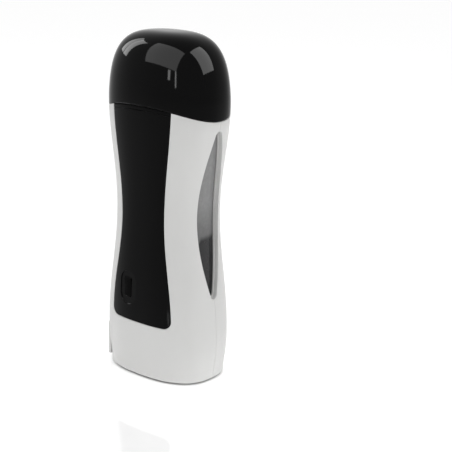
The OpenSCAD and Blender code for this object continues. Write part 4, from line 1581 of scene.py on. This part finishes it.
@dataclass
class FrontPanel:
    """The glossy panel let into the front shell, with the button's shallow dish."""

    thickness: float = 1.6
    reveal: float = 0.3
    dish_w: float = 13.0
    dish_h: float = 20.0
    dish_deep: float = 0.8
    dish_shift: float = 0.6
    columns: int = 56
    spacing: float = 1.5
    edge_round: float = 0.3
    groove_in: float = 1.4
    groove: float = 0.3
    flare: tuple[tuple[float, float], ...] = ((-5.0, 4.9), (-0.6, 0.75), (0.0, 0.3), (0.3, 0.08))
    floor_round: float = 0.15
    tilt_x: float = 3.0
    tilt_z: float = 5.0

    def rows(self, inset: float, groove: float = 0.0) -> Rows:
        """Rows of the panel's surface at an inset.

        Args:
            inset: Distance behind the outline.
            groove: Depth of the fine groove across the panel under its upper edge.

        Returns:
            Rows of points from the panel's foot to the cap's joint.
        """
        radius = PANEL.corner - PANEL.gap
        corner = [PANEL.low + PANEL.gap + rise for rise in round_rises(radius, 12)]
        top = OUTLINE.shell_high - self.reveal
        line = top - self.groove_in
        below = steps(corner[-1], line - self.spacing / 2, self.spacing)
        fold = self.groove / 2
        levels = ordered([*corner, *below, line - fold, line, line + fold, top])
        made = []
        for z in levels:
            deep = inset + (groove if abs(z - line) < 1e-6 else 0.0)
            row = []
            for share in spread(self.columns):
                y = OUTLINE.front_y(share * PANEL.half(OUTLINE, z, PANEL.gap), z, deep)
                raised = OUTLINE.wave(z, y)
                x = share * PANEL.half(OUTLINE, raised, PANEL.gap)
                row.append(Vector((x, OUTLINE.front_y(x, raised, deep), raised)))
            made.append(row)
        return made

    def dish(self, button: PowerButton) -> bmesh.types.BMesh:
        """Cutter for the dish, square to the panel at the button, with a flared rim.

        Args:
            button: Button that the dish lies round.

        Returns:
            The cutter, as a bmesh.
        """
        middle = abs(button.x)
        left, right = (
            OUTLINE.front_y(middle + step, button.z, 0) for step in (self.tilt_x, -self.tilt_x)
        )
        upper, lower = (
            OUTLINE.front_y(middle, button.z + step, 0) for step in (self.tilt_z, -self.tilt_z)
        )
        turn = math.atan((left - right) / (2 * self.tilt_x))
        lean = math.atan((upper - lower) / (2 * self.tilt_z))
        bm = pill(
            self.dish_w,
            self.dish_h,
            self.dish_w / 2 - 0.01,
            [
                *self.flare,
                (self.dish_deep - self.floor_round, 0.0),
                (self.dish_deep, -self.floor_round),
            ],
        )
        y = OUTLINE.front_y(middle, button.z, 0)
        spot = Vector((button.x + self.dish_shift, y, button.z)) * MM
        turned = Matrix.Rotation(-turn, 4, "Z") @ Matrix.Rotation(-lean, 4, "X")
        bmesh.ops.transform(bm, matrix=Matrix.Translation(spot) @ turned, verts=bm.verts)
        return bm

    def build(self, finishes: Finishes, button: PowerButton) -> None:
        """Places the panel.

        Args:
            finishes: Materials.
            button: Button whose dish and slot the panel has.
        """
        bm = thick_sheet(self.rows(0.0, self.groove), self.rows(self.thickness))
        soften(bm, self.edge_round, segments=3)
        mesh = cut(to_mesh(bm, "front_panel"), self.dish(button))
        mesh = cut(mesh, button.slot())
        place(mesh, "gloss_panel", ["front_panel"], Body.HOUSING, finishes.gloss, "gloss_black")


@dataclass
class SideWindows:
    """The two leaf-shaped sight panes behind the shells' edges, each with a light bead round it."""

    inset: float = 3.4
    thickness: float = 1.0
    lap: float = 2.0
    rows_count: int = 64
    columns: int = 16
    bead_inset: float = 2.4
    bead_w: float = 0.8
    bead_gap: float = 0.04
    bead_steps: int = 96
    bead_round: float = 0.2
    edge_round: float = 0.1

    def side_point(self, y: float, z: float, inset: float, side: Side) -> Vector:
        """Point of one side's inset surface, with y counted towards that side's back."""
        return Vector((side.value * OUTLINE.side_x(y, z, inset), side.value * y, z))

    def rows(self, inset: float, side: Side) -> Rows:
        """Rows of a pane's surface at an inset.

        Args:
            inset: Distance behind the outline.
            side: Side of the housing.

        Returns:
            Rows of points, from low to high.
        """
        reach = LEAF.half + self.lap
        made = []
        for share in spread(self.rows_count):
            z = LEAF.middle + reach * share
            wide = LEAF.half_width(LEAF.middle + (z - LEAF.middle) * LEAF.half / reach) + self.lap
            made.append(
                [self.side_point(wide * part, z, inset, side) for part in spread(self.columns)]
            )
        return made

    def ring(self, shrink: float, inset: float, side: Side) -> list[Vector]:
        """Closed ring of points just inside the opening's edge.

        Args:
            shrink: Distance inside the edge.
            inset: Distance behind the outline.
            side: Side of the housing.

        Returns:
            Points up one edge of the leaf and down the other.
        """
        leaf = replace(
            LEAF,
            low=LEAF.low + shrink,
            high=LEAF.high - shrink,
            width=LEAF.width - 2 * shrink,
            tip=LEAF.tip - shrink,
        )
        levels = [
            leaf.middle - leaf.half * math.cos(math.pi * i / self.bead_steps)
            for i in range(self.bead_steps + 1)
        ]
        edge = [(leaf.half_width(z), z) for z in levels]
        around = [*edge, *((-y, z) for y, z in reversed(edge[1:-1]))]
        return [self.side_point(y, z, inset, side) for y, z in around]

    def bead(self, side: Side) -> bmesh.types.BMesh:
        """Light bead that stands on the pane against the opening's edge.

        Args:
            side: Side of the housing.

        Returns:
            The bead, as a closed bmesh.
        """
        near, far = self.bead_gap, self.bead_gap + self.bead_w
        foot = self.inset - self.bead_gap
        corners = ((near, self.bead_inset), (far, self.bead_inset), (far, foot), (near, foot))
        bm = closed_loft([self.ring(shrink, inset, side) for shrink, inset in corners])
        soften(bm, self.bead_round)
        return bm

    def build(self, finishes: Finishes) -> None:
        """Places both panes and their beads.

        Args:
            finishes: Materials.
        """
        for side, node in ((Side.RIGHT, "window_right"), (Side.LEFT, "window_left")):
            rear = self.inset + self.thickness
            bm = thick_sheet(self.rows(self.inset, side), self.rows(rear, side))
            soften(bm, self.edge_round)
            pane, bead = f"pane_{side.name.lower()}", f"bead_{side.name.lower()}"
            place(to_mesh(bm, node), pane, [node], Body.HOUSING, finishes.pane, "pane")
            mesh = to_mesh(self.bead(side), bead)
            place(mesh, bead, [], Body.HOUSING, finishes.shell, "shell")


@dataclass
class NeckRing:
    """The ring that the cap slides over, with its deck and the collar round the chamber."""

    wall: float = 1.6
    deck: float = 2.0
    collar: float = 1.7
    fit: float = 0.3
    neck_gap: float = 0.35
    seat: float = 0.1
    low: float = 151.1
    top: float = 166.0
    well_w: float = 47.6
    well_d: float = 30.0
    well_r: float = 12.0
    well_back: float = 1.0
    top_round: float = 0.6
    top_step: float = 0.18
    mouth_round: float = 0.5
    mouth_step: float = 0.15
    count: int = 160

    def outer(self, z: float, inset: float) -> list[Vector]:
        """Ring of the neck's wall at height z.

        Args:
            z: Height.
            inset: Distance inside the wall's outer face.

        Returns:
            The ring's points.
        """
        high = OUTLINE.joint(OUTLINE.half_depth(OUTLINE.joint_z))
        wide = OUTLINE.half_width(OUTLINE.joint_z) - CAP_WALL - self.neck_gap
        deep = OUTLINE.half_depth(high) - CAP_WALL - self.neck_gap
        ring = []
        for i in range(self.count):
            angle = FULL_TURN * i / self.count
            behind = PANEL_FLOOR if math.sin(angle) < 0 else SHELL_WALL
            half_w = min(OUTLINE.axis_w(z, SHELL_WALL + self.fit), wide) - inset
            half_d = min(OUTLINE.axis_d(z, behind + self.fit), deep) - inset
            ring.append(oval(angle, half_w, half_d, OUTLINE.square(OUTLINE.joint_z), z))
        return ring

    def well(self, z: float, grow: float) -> list[Vector]:
        """Ring with the chamber's rounded plan at height z, grown by a distance.

        Args:
            z: Height.
            grow: Growth of the plan.

        Returns:
            The ring's points.
        """
        half_w, half_d, radius = self.well_w / 2 + grow, self.well_d / 2 + grow, self.well_r + grow
        ring = []
        for i in range(self.count):
            angle = FULL_TURN * i / self.count
            c, s = math.cos(angle), math.sin(angle)
            core = Vector((math.copysign(half_w - radius, c), math.copysign(half_d - radius, s)))
            ring.append(Vector((core.x + radius * c, self.well_back + core.y + radius * s, z)))
        return ring

    def build(self, finishes: Finishes) -> None:
        """Places the neck ring.

        Args:
            finishes: Materials.
        """
        knee = OUTLINE.joint(OUTLINE.half_depth(OUTLINE.joint_z))
        under = self.top - self.deck

        rings = [
            self.outer(self.low, 0.0),
            self.outer(OUTLINE.joint_z, 0.0),
            self.outer(knee, 0.0),
            self.outer(self.top - self.top_round, 0.0),
            self.outer(self.top - self.top_step, self.top_step),
            self.outer(self.top, self.top_round),
            self.well(self.top, self.seat + self.mouth_round),
            self.well(self.top - self.mouth_step, self.seat + self.mouth_step),
            self.well(self.top - self.mouth_round, self.seat),
            self.well(self.low, self.seat),
            self.well(self.low, self.collar),
            self.well(under, self.collar),
            self.outer(under, self.wall),
            self.outer(knee, self.wall),
            self.outer(OUTLINE.joint_z, self.wall),
            self.outer(self.low, self.wall),
        ]
        mesh = to_mesh(closed_loft(rings), "neck_ring")
        place(mesh, "neck_collar", ["neck_ring"], Body.HOUSING, finishes.matt, "matt_black")


@dataclass
class MainsInlet:
    """The raised pad low on the left side, with its two-pole inlet."""

    half: float = 17.5
    low: float = 4.0
    high: float = 24.5
    proud: float = 0.4
    gap: float = 0.2
    top_round: float = 2.0
    root: float = 3.0
    middle_z: float = 14.0
    lobe_r: float = 4.2
    lobe_y: float = 4.1
    waist: float = 5.6
    wall: float = SHELL_WALL
    edge_share: float = 0.9
    edge_round: float = 0.4
    mouth_x: float = -30.0
    mouth_deep: float = 30.0
    spacing: float = 2.0
    columns: int = 32
    top_rows: int = 8

    @property
    def face_x(self) -> float:
        """Distance of the pad's outermost face from the middle."""
        return OUTLINE.hip_w / 2 + self.proud

    @property
    def rear_x(self) -> float:
        """Distance of the pad's rear face from the middle."""
        return OUTLINE.half_width(self.low) - self.wall - self.root

    def edge(self, y: float, z: float) -> float:
        """Distance of the pad's surface from the middle at y and z.

        Args:
            y: Place along Y.
            z: Height.

        Returns:
            The distance.
        """
        n, deep = OUTLINE.low_square, OUTLINE.half_depth(OUTLINE.hip_z) + self.proud
        flat = self.face_x * (1 - unit(abs(y) / deep) ** n) ** (1 / n)
        return flat - arc_inset((self.high - z) / self.top_round, self.top_round) * self.edge_share

    def mouth(self) -> list[bmesh.types.BMesh]:
        """Cutters for the two lobes and the waist between them.

        Returns:
            The cutters, as bmeshes.
        """
        cutters = []
        for y in (-self.lobe_y, self.lobe_y):
            bm = bmesh.new()
            spot = Matrix.Translation(Vector((self.mouth_x, y, self.middle_z)) * MM)
            bmesh.ops.create_cone(
                bm,
                cap_ends=True,
                segments=48,
                radius1=self.lobe_r * MM,
                radius2=self.lobe_r * MM,
                depth=self.mouth_deep * MM,
                matrix=spot @ Matrix.Rotation(math.pi / 2, 4, "Y"),
            )
            cutters.append(bm)
        low, high = self.middle_z - self.waist / 2, self.middle_z + self.waist / 2
        outer, inner = self.mouth_x - self.mouth_deep / 2, self.mouth_x + self.mouth_deep / 2
        cutters.append(block((outer, -self.lobe_y, low), (inner, self.lobe_y, high)))
        return cutters

    def build(self, finishes: Finishes) -> None:
        """Places the pad and dresses the socket and the pins.

        Args:
            finishes: Materials.
        """
        levels = steps(self.low, self.high - self.top_round, self.spacing)
        for i in range(1, self.top_rows + 1):
            turn = math.radians(90 / self.top_rows * i)
            levels.append(self.high - self.top_round * (1 - math.sin(turn)))
        spots = [self.half * share for share in reversed(spread(self.columns))]
        outer = [[Vector((-self.edge(y, z), y, z)) for y in spots] for z in levels]
        inner = [[Vector((-self.rear_x, y, z)) for y in spots] for z in levels]
        bm = thick_sheet(outer, inner)
        soften(bm, self.edge_round, segments=3)
        mesh = to_mesh(bm, "inlet_pad")
        for cutter in self.mouth():
            mesh = cut(mesh, cutter)
        place(mesh, "inlet_surround", ["inlet_pad"], Body.HOUSING, finishes.shell, "shell")
        dress("inlet_socket", finishes.matt)
        dress("inlet_pins", finishes.contact)


@dataclass
class HeatingUnit:
    """The chamber with its heaters, bands, sensors and cradle, on their CAD meshes."""

    metals: tuple[str, ...] = ("clip_bands", "fuse_strap")

    def build(self, finishes: Finishes) -> None:
        """Dresses the nodes.

        Args:
            finishes: Materials.
        """
        dress("heating_chamber", finishes.chamber)
        dress("chamber_cradle", finishes.matt)
        dress("front_heater", finishes.heater)
        dress("back_heater", finishes.heater)
        dress("thermostat", finishes.bakelite)
        dress("thermal_fuse", finishes.fuse)
        for node in self.metals:
            dress(node, finishes.steel)


@dataclass
class Electrics:
    """The board, what is on it, and the wires, on their CAD meshes."""

    wires: tuple[str, ...] = ("mains_wires", "heater_wires", "sensor_wires")

    def build(self, finishes: Finishes) -> None:
        """Dresses the nodes.

        Args:
            finishes: Materials.
        """
        dress("circuit_board", finishes.board)
        dress("power_switch", finishes.matt)
        dress("relay", finishes.relay)
        dress("capacitor", finishes.sleeve)
        dress("board_screws", finishes.steel)
        for node, material in zip(self.wires, (finishes.brown, finishes.red, finishes.white)):
            dress(node, material)


# ---- Studio ------------------------------------------------------------------


STEP_BACK = 0.02  # a lamp at the same place as another would hide the other's image


@dataclass(frozen=True)
class Softbox:
    """A rectangular lamp, placed by its direction and distance from the object's middle.

    Its light on surfaces and its image in gloss are set apart, because a lamp that is large
    enough for soft light is dimmer than the one whose image a black gloss still shows.
    """

    name: str
    azimuth: float
    elevation: float
    distance: float
    width: float
    height: float
    light: float
    image: float
    aim: Triple = (0.0, 0.0, 0.1)

    def lamp(self, name: str, radiance: float, behind: float = 0.0) -> bpy.types.Object:
        """Makes one lamp, turned towards the aim.

        Args:
            name: Name of the lamp.
            radiance: Brightness of its face, where 1 is white.
            behind: How much further off than the set distance it stands.

        Returns:
            The lamp's object.
        """
        lamp = bpy.data.lights.new(name, "AREA")
        lamp.shape, lamp.size, lamp.size_y = "RECTANGLE", self.width, self.height
        lamp.energy = radiance * math.pi * self.width * self.height
        holder = bpy.data.objects.new(name, lamp)
        back = direction(self.azimuth, self.elevation)
        holder.location = Vector(self.aim) + back * (self.distance + behind)
        holder.rotation_euler = back.to_track_quat("Z", "Y").to_euler()
        holder.visible_camera = False
        bpy.context.scene.collection.objects.link(holder)
        return holder

    def build(self) -> None:
        """Makes the lamp that lights surfaces and the one that gloss shows."""
        if self.light:
            lit = self.lamp(f"{self.name}_light", self.light, behind=STEP_BACK)
            lit.visible_glossy = False
        if self.image:
            self.lamp(f"{self.name}_image", self.image).visible_diffuse = False


@dataclass
class Studio:
    """Floor, world, lamps and camera."""

    azimuth: float = 41.56
    elevation: float = 15.26
    distance: float = 0.66393
    roll: float = 0.41
    focal: float = 1143.7
    centre_u: float = 168.32
    centre_v: float = 203.81
    picture: int = 452
    ambient: float = 0.52
    floor_lift: float = 0.39
    floor_size: float = 30.0
    floor_gloss: float = 0.2
    # Reaches, in shares of the foot's outline, between which the lift fades in; inside them the
    # floor carries a painted contact shadow.
    painted_shadow_inner: float = 0.96
    painted_shadow_outer: float = 1.05
    sensor: float = 36.0
    aim: Triple = (0.0, 0.0, 0.1)
    lamps: list[Softbox] = field(
        default_factory=lambda: [
            Softbox("right_box", 104, 46, 1.2, 0.95, 1.1, 0.9, 16.0),
            Softbox("front_box", -14, 44, 1.2, 1.15, 1.0, 0.55, 8.0),
            Softbox("left_outer", -87, 32, 1.2, 0.22, 0.66, 0.0, 9.0),
            Softbox("left_inner", -74, 32, 1.2, 0.24, 0.66, 0.0, 14.0),
            Softbox("rear_box", -118, 42, 1.2, 0.4, 0.4, 0.7, 0.0),
            Softbox("wide_strip", -1, 15, 1.2, 0.08, 0.2, 0.0, 24.0),
            Softbox("fine_strip", 11, 13, 1.2, 0.05, 0.3, 0.0, 24.0),
        ]
    )

    def camera(self) -> None:
        """Stands the camera where the photograph was taken, without lens shift."""
        a, r = math.radians(self.azimuth), math.radians(self.roll)
        back = direction(self.azimuth, self.elevation)
        right = Vector((math.cos(a), math.sin(a), 0.0))
        up = back.cross(right)
        right, up = math.cos(r) * right + math.sin(r) * up, math.cos(r) * up - math.sin(r) * right
        aside = (self.picture / 2 - self.centre_u) / self.focal
        below = (self.picture / 2 - self.centre_v) / self.focal
        ahead = -back + right * aside - up * below
        rear = -ahead.normalized()
        level = (right - rear * right.dot(rear)).normalized()
        turn = Matrix((level, rear.cross(level), rear)).transposed()
        data = bpy.data.cameras.new("camera")
        data.sensor_width, data.lens = self.sensor, self.focal / self.picture * self.sensor
        data.clip_start, data.clip_end = 0.01, 50.0
        holder = bpy.data.objects.new("camera", data)
        spot = Vector(self.aim) + back * self.distance
        holder.matrix_world = Matrix.Translation(spot) @ turn.to_4x4()
        bpy.context.scene.collection.objects.link(holder)
        bpy.context.scene.camera = holder

    def world(self) -> None:
        """Makes an even white surround that lights the object at a plain level."""
        world = bpy.data.worlds.new("surround")
        world.use_nodes = True
        graph = Graph(world.node_tree)
        seen = graph.shown()
        plain = graph.add("ShaderNodeBackground", Color=(1, 1, 1, 1), Strength=self.ambient)
        white = graph.add("ShaderNodeBackground", Color=(1, 1, 1, 1), Strength=1.0)
        both = graph.add("ShaderNodeMixShader", Fac=seen, i1=plain.outputs[0], i2=white.outputs[0])
        graph.add("ShaderNodeOutputWorld", Surface=both.outputs[0])
        bpy.context.scene.world = world

    def footprint(self, graph: Graph) -> bpy.types.NodeSocket:
        """Reach of a point of the floor from the foot's middle, 1 on the foot's outline.

        Args:
            graph: Graph of the floor's material.

        Returns:
            The reach.
        """
        spot = graph.add("ShaderNodeTexCoord").outputs["Object"]
        axes = graph.add("ShaderNodeSeparateXYZ", Vector=spot).outputs
        square = OUTLINE.square(0.0)
        terms = []
        for axis, half in (("X", OUTLINE.half_width(0.0)), ("Y", OUTLINE.half_depth(0.0))):
            share = graph.math("DIVIDE", graph.math("ABSOLUTE", axes[axis]), half * MM)
            terms.append(graph.math("POWER", share, square))
        return graph.math("POWER", graph.math("ADD", *terms), 1 / square)

    def floor(self) -> None:
        """Lays a wide white floor with a faint gloss.

        What the camera sees of it is lifted to white, but the lift fades out in a narrow band round
        the foot's outline, which paints a contact shadow there over the real one.
        """
        bm = bmesh.new()
        bmesh.ops.create_grid(bm, x_segments=1, y_segments=1, size=self.floor_size)
        material, graph = new_material("floor_white")
        seen = graph.shown()
        lit = graph.add("ShaderNodeBsdfDiffuse", Color=(0.92, 0.92, 0.92, 1.0))
        shine = graph.add("ShaderNodeBsdfGlossy", Color=(1, 1, 1, 1), Roughness=0.06)
        surface = graph.add(
            "ShaderNodeMixShader", Fac=self.floor_gloss, i1=lit.outputs[0], i2=shine.outputs[0]
        )
        # Painted contact shadow: the lift is left out within a band round the foot's outline.
        reach = self.footprint(graph)
        clear = graph.add(
            "ShaderNodeMapRange", Value=reach, i1=self.painted_shadow_inner, i2=self.painted_shadow_outer
        )
        lifted = graph.math("MULTIPLY", clear.outputs[0], self.floor_lift)
        lift = graph.add("ShaderNodeEmission", Strength=graph.math("MULTIPLY", seen, lifted))
        whole = graph.add("ShaderNodeAddShader", i0=surface.outputs[0], i1=lift.outputs[0])
        graph.add("ShaderNodeOutputMaterial", Surface=whole.outputs[0])
        mesh = to_mesh(bm, "floor")
        mesh.materials.append(material)
        floor = bpy.data.objects.new("floor", mesh)
        bpy.context.scene.collection.objects.link(floor)

    def build(self) -> None:
        """Sets the whole studio up."""
        self.camera()
        self.world()
        self.floor()
        for lamp in self.lamps:
            lamp.build()
        bpy.context.scene.view_settings.view_transform = "Standard"


def main() -> None:
    """Builds every sub-assembly in order."""
    logging.basicConfig(level=logging.INFO, format="%(name)s: %(message)s")
    finishes = Finishes()
    Studio().build()
    button, inlet = PowerButton(), MainsInlet()
    Housing().build(finishes, button, inlet)
    FrontPanel().build(finishes, button)
    button.build(finishes)
    SideWindows().build(finishes)
    Cap().build(finishes)
    NeckRing().build(finishes)
    inlet.build(finishes)
    HeatingUnit().build(finishes)
    Electrics().build(finishes)


if __name__ == "__main__":
    main()
